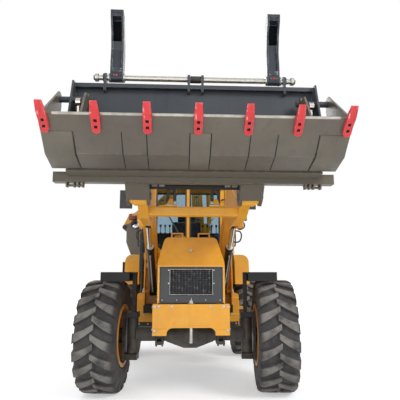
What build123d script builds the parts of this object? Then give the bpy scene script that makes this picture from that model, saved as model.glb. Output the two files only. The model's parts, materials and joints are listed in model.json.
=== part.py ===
from build123d import *
import math
import os

# Backhoe loader, full size, in millimetres. The nose points along -Y, +X is the machine's left, +Z is up.
# While it is built, y counts from the front axle; the last lines move the origin under the middle.

# Running clearances
PIN_GAP = 0.5
SIDE_GAP = 5.0
EYE_ROOM = 155.0

# Wheels
TYRE_R = 595.0
TYRE_W = 410.0
LUG_COUNT = 20
LUG_H = 30.0
LUG_W = 60.0
LUG_LEAN = 110.0
SHOULDER = 22.0
RIM_R = 305.0
FLANGE_R = 333.0
RIM_WALL = 13.0
DISC_T = 16.0
DISC_OUT = 40.0
HUB_R = 125.0
SPINDLE_R = 80.0
SLEEVE_LEN = 100.0
CAP_R = 140.0
CAP_LEN = 95.0
WHEELBASE = 2250.0
FRONT_TRACK_X = 930.0
REAR_TRACK_X = 945.0

# Steering
KINGPIN_X = 630.0
KINGPIN_R = 32.0
BOSS_R = 60.0
STEER_REST = 5.0
TRAY_IN = KINGPIN_X + 16.0
TRAY_OUT = 960.0
TRAY_HALF = 205.0
TRAY_Z = 1265.0
TRAY_T = 12.0
TRAY_LIP = 88.0
STEER_LOCK = 20.0

# Chassis
RAIL_X = 335.0
RAIL_W = 70.0
RAIL_Z0 = 700.0
RAIL_Z1 = 860.0
RAIL_FRONT_Y = -330.0
REAR_FRAME_Y = WHEELBASE + 760.0
REAR_BEAM_D = 130.0
WALL = 8.0

# Hood, grille and nose
HOOD_HALF_W = 350.0
HOOD_TOP_HALF_W = 285.0
HOOD_ROUND = 55.0
LOUVRE_COUNT = 6
LOUVRE_PITCH = 42.0
HOOD_Z0 = 950.0
HOOD_BROW_Z = 1345.0
HOOD_TOP_Z = 1660.0
HOOD_FRONT_Y = -400.0
HOOD_SLOPE = 270.0
HOOD_REAR_Y = 1180.0
SHEET = 6.0
NOSE_HALF_W = 395.0
NOSE_FRONT_Y = -430.0
NOSE_Z0 = 700.0

# Loader arms, in side view (y, z)
ARM_X = 490.0
ARM_W = 150.0
ARM_PIVOT = (950.0, 1500.0)
ARM_ELBOW = (-350.0, 2300.0)
BUCKET_PIN = (-1200.0, 1930.0)
CROSS_BEAM = (-950.0, 1830.0)
CROSS_BEAM_D = 110.0
CROSS_BEAM_H = 84.0
ARM_BEVEL = 50.0
PIVOT_R = 95.0
ELBOW_R = 122.0
NOSE_R = 85.0
LUG_R = 78.0
CHEEK = 15.0

# Loader cylinders: base, eye, plane, shortest length
LIFT_BASE = (940.0, 1030.0)
LIFT_EYE = (-275.0, 1825.0)
LIFT_X = 465.0
LIFT_SHORT = 1085.0
TILT_BASE = (-280.0, 2560.0)
TILT_EYE = (-1170.0, 2310.0)
TILT_SHORT = 865.0

# Loader bucket, in side view
BUCKET_HALF_W = 1150.0
BACK_HALF_W = BUCKET_HALF_W - 105.0
BUCKET_LIP = (-2000.0, 2380.0)
BUCKET_BEND = (-1760.0, 2150.0)
BUCKET_SEAM = (-1552.0, 2085.0)
BACK_HEEL = (-1470.0, 2060.0)
BACK_TOP = (-1400.0, 2868.0)
CLAM_PIN = (-1500.0, 2690.0)
PLATE = 16.0
BEAM_Y = -1420.0
BEAM_Z = 2040.0
BEAM_SIZE = 84.0
TOOTH_COUNT = 7
TOOTH_EDGE = 40.0
TOOTH_W = 62.0
TOOTH_BACK = 140.0
TOOTH_AHEAD = 100.0
CLAM_BASE = (-1540.0, 2235.0)
CLAM_EYE = (-1565.0, 2640.0)
CLAM_X = BUCKET_HALF_W - 185.0
CLAM_SHORT = 400.0
BRACE_X = BUCKET_HALF_W - 260.0
FORK_PIN = (-1410.0, 2935.0)
FORK_SHAFT_R = 24.0
FORK_SHAFT_HALF = 870.0
FORK_X = 685.0
FORK_W = 110.0

# Cab, in plan: front, door and rear pillars
CAB_FRONT_Y = 1200.0
CAB_DOOR_Y = WHEELBASE - 300.0
CAB_REAR_Y = WHEELBASE + 470.0
CAB_FRONT_X = 530.0
CAB_SIDE_X = 725.0
CAB_FLOOR_Z = 1050.0
CAB_SILL_Z = 1600.0
CAB_HEAD_Z = 2760.0
CAB_ROOF_Z = 2880.0
POST = 60.0
PANEL = 30.0
GLASS = 6.0

# Backhoe, drawn straight back in its own plane: r counts from the slew axis
SLEW_X = 450.0
SLEW_OUT = 310.0
SLEW_REST = 90.0
BOOM_PIN = (200.0, 800.0)
BOOM_KNEE = (190.0, 1950.0)
DIPPER_PIN = (260.0, 3250.0)
DIG_PIN = (1400.0, 2200.0)
BOOM_W = 200.0
DIPPER_W = 150.0
BOOM_BASE = (-6.0, 1134.0)
BOOM_EYE = (-15.0, 2047.0)
BOOM_SHORT = 910.0
STICK_BASE = (-19.0, 2192.0)
STICK_EYE = (20.0, 3480.0)
STICK_SHORT = 770.0
CURL_BASE = (640.0, 3170.0)
ROCKER_PIN = (1180.0, 2403.0)
ROCKER_END = (1508.0, 2370.0)
LINK_PIN = (1615.0, 2151.0)
CURL_SHORT = 780.0
DIG_HALF_W = 290.0

# Stabilisers
LEG_X = 1085.0
LEG_Y = REAR_FRAME_Y + 65.0
LEG_TUBE = 120.0
LEG_SIZE = 92.0
LEG_TOP_Z = 1480.0
LEG_LOW_Z = 430.0
FOOT_Z = 290.0


def box(x0, x1, y0, y1, z0, z1):
    return Pos((x0 + x1) / 2, (y0 + y1) / 2, (z0 + z1) / 2) * Box(x1 - x0, y1 - y0, z1 - z0)


def side_plane(x):
    return Plane(origin=(x, 0, 0), x_dir=(0, 1, 0), z_dir=(1, 0, 0))


def plate(points, x0, x1):
    """A flat plate cut to an outline in side view (y, z), from x0 to x1."""
    return extrude(side_plane(x0) * make_face(Polyline(*points, close=True)), amount=x1 - x0, dir=(1, 0, 0))


def hull(discs, x0, x1):
    """A plate whose outline is drawn round a few discs (y, z, radius)."""
    rims = [Pos(y, z) * Circle(r) for y, z, r in discs]
    edges = [edge for rim in rims for edge in rim.edges()]
    return extrude(side_plane(x0) * make_hull(edges), amount=x1 - x0, dir=(1, 0, 0))


def xrod(yz, r, x0, x1):
    return Pos((x0 + x1) / 2, yz[0], yz[1]) * Rot(0, 90, 0) * Cylinder(r, x1 - x0)


def yrod(x, z, r, y0, y1):
    return Pos(x, (y0 + y1) / 2, z) * Rot(90, 0, 0) * Cylinder(r, y1 - y0)


def zrod(x, y, r, z0, z1):
    return Pos(x, y, (z0 + z1) / 2) * Cylinder(r, z1 - z0)


def rod(p, q, r):
    """A round bar from point p to point q."""
    start = Vector(*p)
    run = Vector(*q) - start
    return extrude(Plane(origin=start, z_dir=run) * Circle(r), amount=run.length)


def flip(shape):
    return mirror(shape, about=Plane.YZ)


def both(shape):
    return shape + flip(shape)


def join(*shapes):
    whole = shapes[0]
    for shape in shapes[1:]:
        whole = whole + shape
    return whole


def ram(base, eye, x, shortest, barrel_r, rod_r, eye_w, base_pin_r):
    """One hydraulic cylinder in side view: its barrel and its rod."""
    run = Vector(0, eye[0] - base[0], eye[1] - base[1])
    along = run.normalized()
    foot = Vector(x, base[0], base[1])
    head = Vector(x, eye[0], eye[1])
    eye_r = base_pin_r + 22
    base_w = 2 * barrel_r + 4
    barrel_end = shortest - 110
    back = foot + along * (eye_r * 0.6)
    mouth = foot + along * barrel_end
    barrel = rod(back, mouth, barrel_r)
    barrel = barrel + xrod(base, eye_r, x - base_w / 2, x + base_w / 2)
    barrel = barrel - xrod(base, base_pin_r + PIN_GAP, x - base_w, x + base_w)
    bore_start = foot + along * (eye_r + 12)
    barrel = barrel - rod(bore_start, foot + along * (barrel_end + 20), rod_r + PIN_GAP)
    tail = head - along * (shortest - eye_r - 45)
    piston_rod = rod(tail, head - along * (eye_r * 0.6), rod_r)
    piston_rod = piston_rod + xrod(eye, eye_r, x - eye_w / 2, x + eye_w / 2)
    return barrel, piston_rod


def tyre():
    """Tyre about the X axis: a turned carcass, a tread band in flats and a pair of slanting lugs on each flat."""
    half = TYRE_W / 2
    carcass_r = TYRE_R - LUG_H
    edge = half - SHOULDER
    section = [(-half + 22, RIM_R), (half - 22, RIM_R), (half - 12, FLANGE_R + 8), (half, TYRE_R * 0.74),
               (edge, carcass_r - 45), (-edge, carcass_r - 45), (-half, TYRE_R * 0.74), (-half + 12, FLANGE_R + 8)]
    carcass = revolve(make_face(Polyline(*section, close=True)), axis=Axis.X)
    flats = 2 * LUG_COUNT
    band = extrude(RegularPolygon(carcass_r / math.cos(math.pi / flats), flats), amount=2 * edge)
    band = Pos(-edge, 0, 0) * Rot(0, 90, 0) * Rot(0, 0, 180 / flats) * band
    band = band - Rot(0, 90, 0) * Cylinder(carcass_r - 65, 3 * half)
    lean = LUG_LEAN / 2
    foot = make_face(Polyline((-10, lean + LUG_W / 2), (-10, lean - LUG_W / 2), (edge, -lean - LUG_W / 2),
                              (edge, -lean + LUG_W / 2), close=True))
    top = math.sqrt(TYRE_R ** 2 - (lean + LUG_W / 2) ** 2)
    lug = extrude(Pos(0, 0, carcass_r - 20) * foot, amount=top - carcass_r + 20)
    lugs = []
    for place in range(LUG_COUNT):
        turn = place * 360 / LUG_COUNT
        lugs.append(Rot(turn, 0, 0) * lug)
        lugs.append(Rot(turn + 180 / LUG_COUNT, 0, 0) * flip(lug))
    return carcass + band.fuse(*lugs)


def wheel_rim(side):
    """Rim, disc, hub sleeve and planetary cap, drawn with the outer side towards +X."""
    half = TYRE_W / 2
    seat = RIM_R - 0.3
    inner = seat - RIM_WALL
    barrel = Rot(0, 90, 0) * (Cylinder(seat, TYRE_W - 10) - Cylinder(inner, TYRE_W))
    edge_x = half - 5
    flange = Rot(0, 90, 0) * (Cylinder(FLANGE_R, 10) - Cylinder(inner, 20))
    disc = xrod((0, 0), inner + 1, DISC_OUT, DISC_OUT + DISC_T)
    sleeve = xrod((0, 0), HUB_R, DISC_OUT - SLEEVE_LEN, DISC_OUT + 1)
    cap = xrod((0, 0), CAP_R, DISC_OUT, DISC_OUT + DISC_T + CAP_LEN)
    rim = join(barrel, Pos(edge_x, 0, 0) * flange, Pos(-edge_x, 0, 0) * flange, disc, sleeve, cap)
    rim = rim - xrod((0, 0), SPINDLE_R + PIN_GAP, -half, DISC_OUT + 25)
    return rim if side > 0 else flip(rim)


def knuckle():
    """Left steering knuckle: a fork on the kingpins, a back plate and the wheel spindle."""
    zc = TYRE_R
    back = box(KINGPIN_X + BOSS_R + 10, KINGPIN_X + BOSS_R + 35, -110, 110, zc - 250, zc + 250)
    arms = join(*[box(KINGPIN_X - 60, KINGPIN_X + BOSS_R + 12, -75, 75, *span)
                  for span in ((zc + 190, zc + 250), (zc - 250, zc - 190))])
    pins = join(zrod(KINGPIN_X, 0, KINGPIN_R, zc + 105, zc + 200), zrod(KINGPIN_X, 0, KINGPIN_R, zc - 200, zc - 105))
    spindle = xrod((0, zc), SPINDLE_R, KINGPIN_X + BOSS_R + 20, FRONT_TRACK_X + DISC_OUT + 20)
    strut = box(KINGPIN_X - 30, KINGPIN_X + 10, -45, 45, zc + 245, TRAY_Z)
    return join(back, arms, pins, spindle, strut)


def front_fender():
    """Left front mudguard: a tray with a lip, its inner end carried by the strut."""
    tray = box(TRAY_IN, TRAY_OUT, -TRAY_HALF, TRAY_HALF, TRAY_Z, TRAY_Z + TRAY_T)
    tongue = box(KINGPIN_X - 30, TRAY_IN + 1, -60, 60, TRAY_Z, TRAY_Z + TRAY_T)
    lips = join(*[box(TRAY_IN, TRAY_OUT, y, y + TRAY_T, TRAY_Z - TRAY_LIP, TRAY_Z + TRAY_T)
                  for y in (-TRAY_HALF, TRAY_HALF - TRAY_T)])
    edge = box(TRAY_OUT - TRAY_T, TRAY_OUT, -TRAY_HALF, TRAY_HALF, TRAY_Z - 35, TRAY_Z + TRAY_T)
    return join(tray, tongue, lips, edge)


def steered(shape, side):
    """Turns a piece about its kingpin to the steering angle of the rest pose."""
    spot = Pos(side * KINGPIN_X, 0, 0)
    return spot * Rot(0, 0, -STEER_REST) * spot.inverse() * shape


nodes = {}

# Chassis: two rails, cross members and the beam that carries the loader tower
rail = box(RAIL_X - RAIL_W / 2, RAIL_X + RAIL_W / 2, RAIL_FRONT_Y, REAR_FRAME_Y, RAIL_Z0, RAIL_Z1)
TOWER_Y0 = ARM_PIVOT[0] - 130
TOWER_Y1 = ARM_PIVOT[0] + 130
tower_beam = box(-ARM_X - 95, ARM_X + 95, TOWER_Y0, TOWER_Y1, RAIL_Z1 - 100, RAIL_Z1)
chassis = both(rail) + tower_beam
for cross_y in (1700, 2620, REAR_FRAME_Y - 70):
    chassis = chassis + box(-RAIL_X, RAIL_X, cross_y, cross_y + 60, RAIL_Z0 + 20, RAIL_Z1 - 20)
nodes["chassis_frame"] = chassis

# Loader tower: a pair of cheeks each side, with the pins of arm and lift cylinder
cheek_outline = [(TOWER_Y0, RAIL_Z1), (TOWER_Y1, RAIL_Z1), (TOWER_Y1, 1530), (ARM_PIVOT[0] + 70, 1610),
                 (ARM_PIVOT[0] - 70, 1610), (ARM_PIVOT[0] - 95, 1480), (TOWER_Y0, 1180)]
IN_X = ARM_X - ARM_W / 2 - SIDE_GAP
OUT_X = ARM_X + ARM_W / 2 + SIDE_GAP
tower = plate(cheek_outline, IN_X - CHEEK, IN_X) + plate(cheek_outline, OUT_X, OUT_X + CHEEK)
tower = tower + box(IN_X - 1, OUT_X + 1, TOWER_Y1 - 12, TOWER_Y1, RAIL_Z1, 1340)
tower = tower + xrod(ARM_PIVOT, 38, IN_X - CHEEK - 18, OUT_X + CHEEK + 18)
tower = tower + xrod(LIFT_BASE, 30, IN_X - CHEEK - 10, OUT_X + CHEEK + 10)
nodes["loader_tower"] = both(tower)

# Nose with an arched lower edge and a towing pin
nose = box(-NOSE_HALF_W, NOSE_HALF_W, NOSE_FRONT_Y, RAIL_FRONT_Y, NOSE_Z0 - 60, HOOD_Z0)
arch = box(-250, 250, NOSE_FRONT_Y - 5, RAIL_FRONT_Y, NOSE_Z0 - 190, NOSE_Z0 + 15)
nose = nose - fillet(arch.edges().filter_by(Axis.Y), 62)
TOW_Y = NOSE_FRONT_Y + 45
nose = nose - zrod(0, TOW_Y, 22, NOSE_Z0 - 100, HOOD_Z0 + 50)
nodes["front_bumper"] = nose + box(-RAIL_X + RAIL_W / 2, RAIL_X - RAIL_W / 2, RAIL_FRONT_Y - 3, RAIL_FRONT_Y + 40, 720, 800)


def hood_block(inset, front_y):
    """The hood's outside, or its inside when drawn inset by the sheet."""
    half = HOOD_HALF_W - inset
    top = HOOD_TOP_HALF_W - inset
    top_z = HOOD_TOP_Z - inset
    ring = Polyline((-half, HOOD_Z0), (half, HOOD_Z0), (half, HOOD_BROW_Z + 40), (top, top_z),
                    (-top, top_z), (-half, HOOD_BROW_Z + 40), close=True)
    outline = make_face(ring)
    outline = fillet(outline.vertices().filter_by(lambda v: v.Y > HOOD_BROW_Z), HOOD_ROUND - inset)
    face = Plane(origin=(0, HOOD_REAR_Y, 0), x_dir=(1, 0, 0), z_dir=(0, -1, 0)) * outline
    block = extrude(face, amount=HOOD_REAR_Y - front_y, dir=(0, -1, 0))
    brow = HOOD_BROW_Z - inset
    cut = plate([(front_y - 10, brow), (front_y - 10, 1900), (front_y + HOOD_SLOPE + 60, 1900),
                 (front_y + HOOD_SLOPE, top_z), (front_y, brow)], -500, 500)
    return block - cut


hood = hood_block(0, HOOD_FRONT_Y) - hood_block(SHEET, HOOD_FRONT_Y + SHEET)
hood = hood - box(-HOOD_HALF_W + SHEET, HOOD_HALF_W - SHEET, HOOD_FRONT_Y, HOOD_REAR_Y + 5, HOOD_Z0 - 5, HOOD_Z0 + 10)
hood = hood - box(-HOOD_HALF_W + SHEET, HOOD_HALF_W - SHEET, HOOD_REAR_Y - 20, HOOD_REAR_Y + 5, HOOD_Z0, 1560)
GRILLE_HALF_W = 322.0
GRILLE_Z0 = 965.0
GRILLE_Z1 = 1322.0
hood = hood - box(-GRILLE_HALF_W, GRILLE_HALF_W, HOOD_FRONT_Y - 20, HOOD_FRONT_Y + 30, GRILLE_Z0, GRILLE_Z1)
for row in range(LOUVRE_COUNT):
    slot_z = HOOD_Z0 + 90 + row * LOUVRE_PITCH
    hood = hood - box(-HOOD_HALF_W - 5, HOOD_HALF_W + 5, 180, 520, slot_z, slot_z + 16)
HANDLE_R = 8.0
HANDLE_Z = HOOD_TOP_Z + 48
handle_y = HOOD_FRONT_Y + HOOD_SLOPE + 60
for inner, outer in ((90, 212), (-212, -90)):
    hood = hood + xrod((handle_y, HANDLE_Z), HANDLE_R, inner, outer)
    for foot_x in (inner, outer):
        hood = hood + Pos(foot_x, handle_y, HANDLE_Z) * Sphere(HANDLE_R)
        hood = hood + zrod(foot_x, handle_y, HANDLE_R, HOOD_TOP_Z - SHEET, HANDLE_Z)
nodes["hood"] = hood

# Grille: a panel with a raised frame round a window of crossed bars
WINDOW_HALF_W = 220.0
WINDOW_Z0 = 1050.0
WINDOW_Z1 = 1300.0
FRAME_W = 14.0
SEAT = 10.0
panel_y = HOOD_FRONT_Y + SHEET
grille = box(-GRILLE_HALF_W - SEAT, GRILLE_HALF_W + SEAT, panel_y, panel_y + 16, GRILLE_Z0 - 4, GRILLE_Z1 + SEAT)
grille = grille + box(-WINDOW_HALF_W - FRAME_W, WINDOW_HALF_W + FRAME_W, panel_y - 6, panel_y + 1,
                      WINDOW_Z0 - FRAME_W, WINDOW_Z1 + FRAME_W)
grille = grille - box(-WINDOW_HALF_W, WINDOW_HALF_W, panel_y - 10, panel_y + 30, WINDOW_Z0, WINDOW_Z1)
BAR = 6.0
CROSS_COUNT = 11
UPRIGHT_COUNT = 13
for index in range(CROSS_COUNT):
    bar_z = WINDOW_Z0 + (WINDOW_Z1 - WINDOW_Z0) * (index + 1) / (CROSS_COUNT + 1)
    grille = grille + box(-WINDOW_HALF_W - 2, WINDOW_HALF_W + 2, panel_y + 2, panel_y + 2 + BAR, bar_z - BAR / 2, bar_z + BAR / 2)
for index in range(UPRIGHT_COUNT):
    bar_x = WINDOW_HALF_W * (2 * (index + 1) / (UPRIGHT_COUNT + 1) - 1)
    grille = grille + box(bar_x - BAR / 2, bar_x + BAR / 2, panel_y + 2 + BAR / 2, panel_y + 2 + 2 * BAR, WINDOW_Z0 - 2, WINDOW_Z1 + 2)
nodes["grille"] = grille

# Engine: one plain block on mounts between the rails
engine = box(-240, 240, -150, 760, 800, 1450) + box(-RAIL_X + 20, RAIL_X - 20, 100, 200, 800, 858)
nodes["engine_block"] = engine - both(box(RAIL_X - RAIL_W / 2 - 0.0, 400, 0, 300, 700, 880))

# Front axle: tube, drive housing and kingpin bosses, clamped under the rails
AXLE_Z = TYRE_R + 15
axle = xrod((0, AXLE_Z), 80, -KINGPIN_X + 40, KINGPIN_X - 40)
bowl = make_face(Polyline((-260, 0), (-260, 82), (-70, 150), (70, 150), (260, 82), (260, 0), close=True))
axle = axle + Pos(0, 0, AXLE_Z - 5) * revolve(bowl, axis=Axis.X) + yrod(0, AXLE_Z, 70, 0, 230)
for side in (-1, 1):
    boss = zrod(side * KINGPIN_X, 0, BOSS_R, TYRE_R - 185, TYRE_R + 185)
    boss = boss - zrod(side * KINGPIN_X, 0, KINGPIN_R + PIN_GAP, TYRE_R + 95, TYRE_R + 200)
    boss = boss - zrod(side * KINGPIN_X, 0, KINGPIN_R + PIN_GAP, TYRE_R - 200, TYRE_R - 95)
    axle = axle + boss
    axle = axle + box(side * RAIL_X - 45, side * RAIL_X + 45, -95, 95, AXLE_Z - 20, RAIL_Z0)
    axle = axle + box(side * RAIL_X - 45, side * RAIL_X + 45, -95, 95, AXLE_Z - 110, AXLE_Z - 75)
    for bolt_x in (-32, 32):
        for bolt_y in (-86, 86):
            axle = axle + zrod(side * RAIL_X + bolt_x, bolt_y, 9, AXLE_Z - 125, AXLE_Z)
nodes["front_axle"] = axle

# Rear axle: tube, drive housing, spindles and seats under the rails
trumpet_end = REAR_TRACK_X - 270
rear_axle = Pos(0, WHEELBASE, TYRE_R) * Sphere(190) + xrod((WHEELBASE, TYRE_R), 92, -trumpet_end, trumpet_end)
spindle_end = REAR_TRACK_X + DISC_OUT + 20
rear_axle = rear_axle + both(xrod((WHEELBASE, TYRE_R), SPINDLE_R, trumpet_end - 1, spindle_end))
for side in (-1, 1):
    rear_axle = rear_axle + box(side * RAIL_X - 45, side * RAIL_X + 45, WHEELBASE - 110, WHEELBASE + 110,
                                TYRE_R, RAIL_Z0)
nodes["rear_axle"] = rear_axle

# Side tanks behind the tower, with filler necks and steps on their outer faces
TANK_IN = RAIL_X + RAIL_W / 2
TANK_OUT = 700.0
TANK_Y0 = TOWER_Y1 + 10
TANK_Y1 = WHEELBASE - 640.0
tank = box(TANK_IN, TANK_OUT, TANK_Y0, TANK_Y1, 620, 1000)
tank = fillet(tank.edges().filter_by(Axis.Y), 40) + zrod(560, TANK_Y0 + 80, 32, 990, 1032)
step = join(*[box(TANK_OUT, TANK_OUT + 130, TANK_Y0 + 60, TANK_Y1 - 120, z, z + 20) for z in (480, 780)])
for hanger_y in (TANK_Y0 + 60, TANK_Y1 - 140):
    step = step + box(TANK_OUT, TANK_OUT + 14, hanger_y, hanger_y + 20, 480, 900)
nodes["side_tanks"] = both(tank + step)

# Rear mudguards: a crowned shell over the inner half of each wheel
FENDER_IN = 715.0
FENDER_OUT = 930.0
FENDER_Y0 = WHEELBASE - 720.0
FENDER_Y1 = WHEELBASE + 650.0
FENDER_Z0 = 1110.0
FENDER_TOP = 1555.0


def fender_block(inset):
    outer = FENDER_OUT - inset
    top = FENDER_TOP - inset
    y0 = FENDER_Y0 + inset
    y1 = FENDER_Y1 - inset
    side_face = plate([(y0, FENDER_Z0 - inset), (y0 + 60, top - 110), (y0 + 190, top), (y1 - 190, top),
                       (y1 - 60, top - 110), (y1, FENDER_Z0 - inset)], FENDER_IN + inset, outer)
    crown = box(outer - 90, outer + 5, y0 - 5, y1 + 5, top - 90, top + 5)
    crown = crown - yrod(outer - 90, top - 90, 90, y0 - 10, y1 + 10)
    return side_face - crown


fender = fender_block(0) - fender_block(WALL)
fender = fender - box(FENDER_IN + WALL, FENDER_OUT - WALL, FENDER_Y0 - 5, FENDER_Y1 + 5, FENDER_Z0 - 20, FENDER_Z0 + 1)
fender = fender - xrod((WHEELBASE, TYRE_R), TYRE_R + 45, FENDER_IN + WALL + 2, FENDER_OUT + 50)
nodes["rear_fenders"] = both(fender)

# Cab: floor and lower panels, pillars with headers, roof and panes
plan = [(-CAB_FRONT_X, CAB_FRONT_Y), (CAB_FRONT_X, CAB_FRONT_Y), (CAB_SIDE_X, CAB_DOOR_Y),
        (CAB_SIDE_X, CAB_REAR_Y), (-CAB_SIDE_X, CAB_REAR_Y), (-CAB_SIDE_X, CAB_DOOR_Y)]


def cab_prism(inset, z0, z1):
    ring = offset(make_face(Polyline(*plan, close=True)), amount=-inset, kind=Kind.INTERSECTION)
    return extrude(Pos(0, 0, z0) * ring, amount=z1 - z0, dir=(0, 0, 1))


def cab_wall(inset, thick, z0, z1):
    return cab_prism(inset, z0, z1) - cab_prism(inset + thick, z0 - 1, z1 + 1)


cab_floor = cab_prism(10, CAB_FLOOR_Z, CAB_FLOOR_Z + 25)
low_wall = cab_wall(10, PANEL, CAB_FLOOR_Z + 20, CAB_SILL_Z)
low_wall = low_wall - box(-1000, 1000, CAB_FRONT_Y + 60, CAB_DOOR_Y - 40, CAB_FLOOR_Z + 26, CAB_SILL_Z + 5)
cab_base = cab_floor + low_wall
side_fill = cab_wall(10, PANEL, CAB_FLOOR_Z + 20, CAB_SILL_Z)
cab_base = cab_base + (side_fill & box(-1000, 0, 1000, 3000, 1000, 2000))
for mount_x in (-RAIL_X, RAIL_X):
    for mount_y in (TANK_Y1 + 40, CAB_REAR_Y - 160):
        cab_base = cab_base + box(mount_x - 30, mount_x + 30, mount_y, mount_y + 90, RAIL_Z1, CAB_FLOOR_Z + 1)
nodes["cab_base"] = cab_base

post_spots = [(CAB_FRONT_X - 38, CAB_FRONT_Y + 42), (CAB_SIDE_X - 42, CAB_DOOR_Y + 38),
              (CAB_SIDE_X - 42, CAB_REAR_Y - 42)]
pillars = cab_wall(10, POST, CAB_HEAD_Z - 60, CAB_HEAD_Z)
for post_x, post_y in post_spots:
    half = POST / 2
    base_z = CAB_FLOOR_Z + 26
    pillar = box(post_x - half, post_x + half, post_y - half, post_y + half, base_z, CAB_HEAD_Z - 20)
    pillars = pillars + both(pillar)
pillars = pillars + box(-22, 22, CAB_FRONT_Y + 12, CAB_FRONT_Y + 42, CAB_SILL_Z, CAB_HEAD_Z - 20)
nodes["cab_pillars"] = pillars - nodes["cab_base"]

roof = cab_prism(-35, CAB_HEAD_Z, CAB_ROOF_Z)
roof = fillet(roof.edges().filter_by(Axis.Z), 60)
roof = chamfer(roof.faces().sort_by(Axis.Z)[-1].edges(), 40)
nodes["cab_roof"] = roof - cab_prism(60, CAB_HEAD_Z - 1, CAB_HEAD_Z + 60)

pane_z0 = CAB_SILL_Z + 2
pane_z1 = CAB_HEAD_Z - 62
front_pane = box(22, CAB_FRONT_X - 68, CAB_FRONT_Y + 20, CAB_FRONT_Y + 20 + GLASS, pane_z0, pane_z1)
rear_pane = box(-CAB_SIDE_X + 72, CAB_SIDE_X - 72, CAB_REAR_Y - 30, CAB_REAR_Y - 30 + GLASS, pane_z0, pane_z1)
quarter = box(CAB_SIDE_X - 30, CAB_SIDE_X - 30 + GLASS, CAB_DOOR_Y + 68, CAB_REAR_Y - 72, pane_z0, pane_z1)
right_side = cab_wall(22, GLASS, pane_z0, pane_z1) & box(-1000, 0, CAB_FRONT_Y + 72, CAB_DOOR_Y + 8, 1000, 3000)
nodes["cab_glass"] = join(both(front_pane), rear_pane, both(quarter), right_side)

# Left door, hinged at the front pillar, cut away over the mudguard
door_along = Vector(CAB_SIDE_X - CAB_FRONT_X, CAB_DOOR_Y - CAB_FRONT_Y, 0)
DOOR_LEN = door_along.length
DOOR_TURN = math.degrees(math.atan2(door_along.Y, door_along.X))
DOOR_HINGE = (CAB_FRONT_X + 14.0, CAB_FRONT_Y - 6.0)
door_frame_at = Pos(CAB_FRONT_X, CAB_FRONT_Y, 0) * Rot(0, 0, DOOR_TURN)
door_plane = door_frame_at * Plane(origin=(0, 0, 0), x_dir=(1, 0, 0), z_dir=(0, -1, 0)).location
DOOR_T = 36.0
door_ring = [(12, CAB_FLOOR_Z + 45), (300, CAB_FLOOR_Z + 45), (360, CAB_SILL_Z - 20), (DOOR_LEN - 8, CAB_SILL_Z - 20),
             (DOOR_LEN - 8, CAB_HEAD_Z - 8), (12, CAB_HEAD_Z - 8)]
door_skin = extrude(door_plane * make_face(Polyline(*door_ring, close=True)), amount=DOOR_T)
window_ring = [(75, CAB_FLOOR_Z + 110), (255, CAB_FLOOR_Z + 110), (315, CAB_SILL_Z + 45),
               (DOOR_LEN - 70, CAB_SILL_Z + 45), (DOOR_LEN - 70, CAB_HEAD_Z - 75), (75, CAB_HEAD_Z - 75)]
window_cut = extrude(door_plane * make_face(Polyline(*window_ring, close=True)), amount=DOOR_T + 20, both=True)
door = door_skin - window_cut
for hinge_z in (1250, 2500):
    door = door + zrod(*DOOR_HINGE, 11, hinge_z, hinge_z + 90)
    door = door + door_frame_at * box(0, 30, -22, -10, hinge_z, hinge_z + 90)
    bracket = box(CAB_FRONT_X - 30, DOOR_HINGE[0], DOOR_HINGE[1] - 12, CAB_FRONT_Y + 5, hinge_z - 24, hinge_z - PIN_GAP)
    bracket = bracket + box(CAB_FRONT_X - 30, CAB_FRONT_X - 15, DOOR_HINGE[1] - 12, CAB_FRONT_Y + 40, hinge_z - 24, hinge_z - PIN_GAP)
    nodes["cab_pillars"] = nodes["cab_pillars"] + (bracket - nodes["cab_base"])
nodes["door_left"] = door
pane = extrude(door_plane * Pos(0, 0, 14) * make_face(Polyline(*window_ring, close=True)), amount=GLASS)
nodes["door_glass_left"] = pane

# Seat and steering column
seat = join(box(-240, 240, 2080, 2540, 1420, 1560), box(-230, 230, 2440, 2580, 1540, 2130),
            box(-160, 160, 2120, 2500, CAB_FLOOR_Z + 25, 1425))
column = rod((0, 1400, CAB_FLOOR_Z + 20), (0, 1649, 1742), 42)
steering_wheel = Pos(0, 1652, 1742) * Rot(-18, 0, 0) * Torus(185, 16)
hub = Pos(0, 1652, 1742) * Rot(-18, 0, 0) * Box(370, 40, 22)
console = box(-170, 170, CAB_FRONT_Y + 45, CAB_FRONT_Y + 210, CAB_FLOOR_Z + 24, 1620)
nodes["cab_interior"] = seat + (join(column, steering_wheel, hub, console) - nodes["cab_base"])

# Exhaust stack, mirrors and lamps
STACK_X = -645.0
STACK_Y = 1330.0
stack = zrod(STACK_X, STACK_Y, 52, 1290, 1850) + zrod(STACK_X, STACK_Y, 26, 1000, 2150)
stack = stack - zrod(STACK_X, STACK_Y, 22, 1900, 2160)
nodes["exhaust_stack"] = stack
mirror_arm = rod((CAB_FRONT_X - 40, CAB_FRONT_Y + 15, 2320), (CAB_FRONT_X - 40, 1160, 2320), 11)
mirror_arm = mirror_arm + Pos(CAB_FRONT_X - 40, 1160, 2320) * Sphere(11)
mirror_arm = mirror_arm + rod((CAB_FRONT_X - 40, 1160, 2320), (880, 1140, 2320), 11)
mirror_head = box(800, 975, 1130, 1170, 2180, 2440)
nodes["mirrors"] = both(mirror_arm + mirror_head) - nodes["cab_pillars"]
lamp = yrod(745, 1940, 62, 1080, 1150) + box(725, 835, 1085, 1150, 2010, 2075)
lamp_arm = box(CAB_FRONT_X - 40, 790, 1140, 1162, 1915, 1965)
lamp_arm = lamp_arm + box(CAB_FRONT_X - 40, CAB_FRONT_X - 15, 1140, 1215, 1915, 1965)
lamp_arm = lamp_arm + box(740, 790, 1140, 1162, 1915, 2060)
nodes["work_lamps"] = both(lamp + lamp_arm) - nodes["cab_pillars"]

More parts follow.
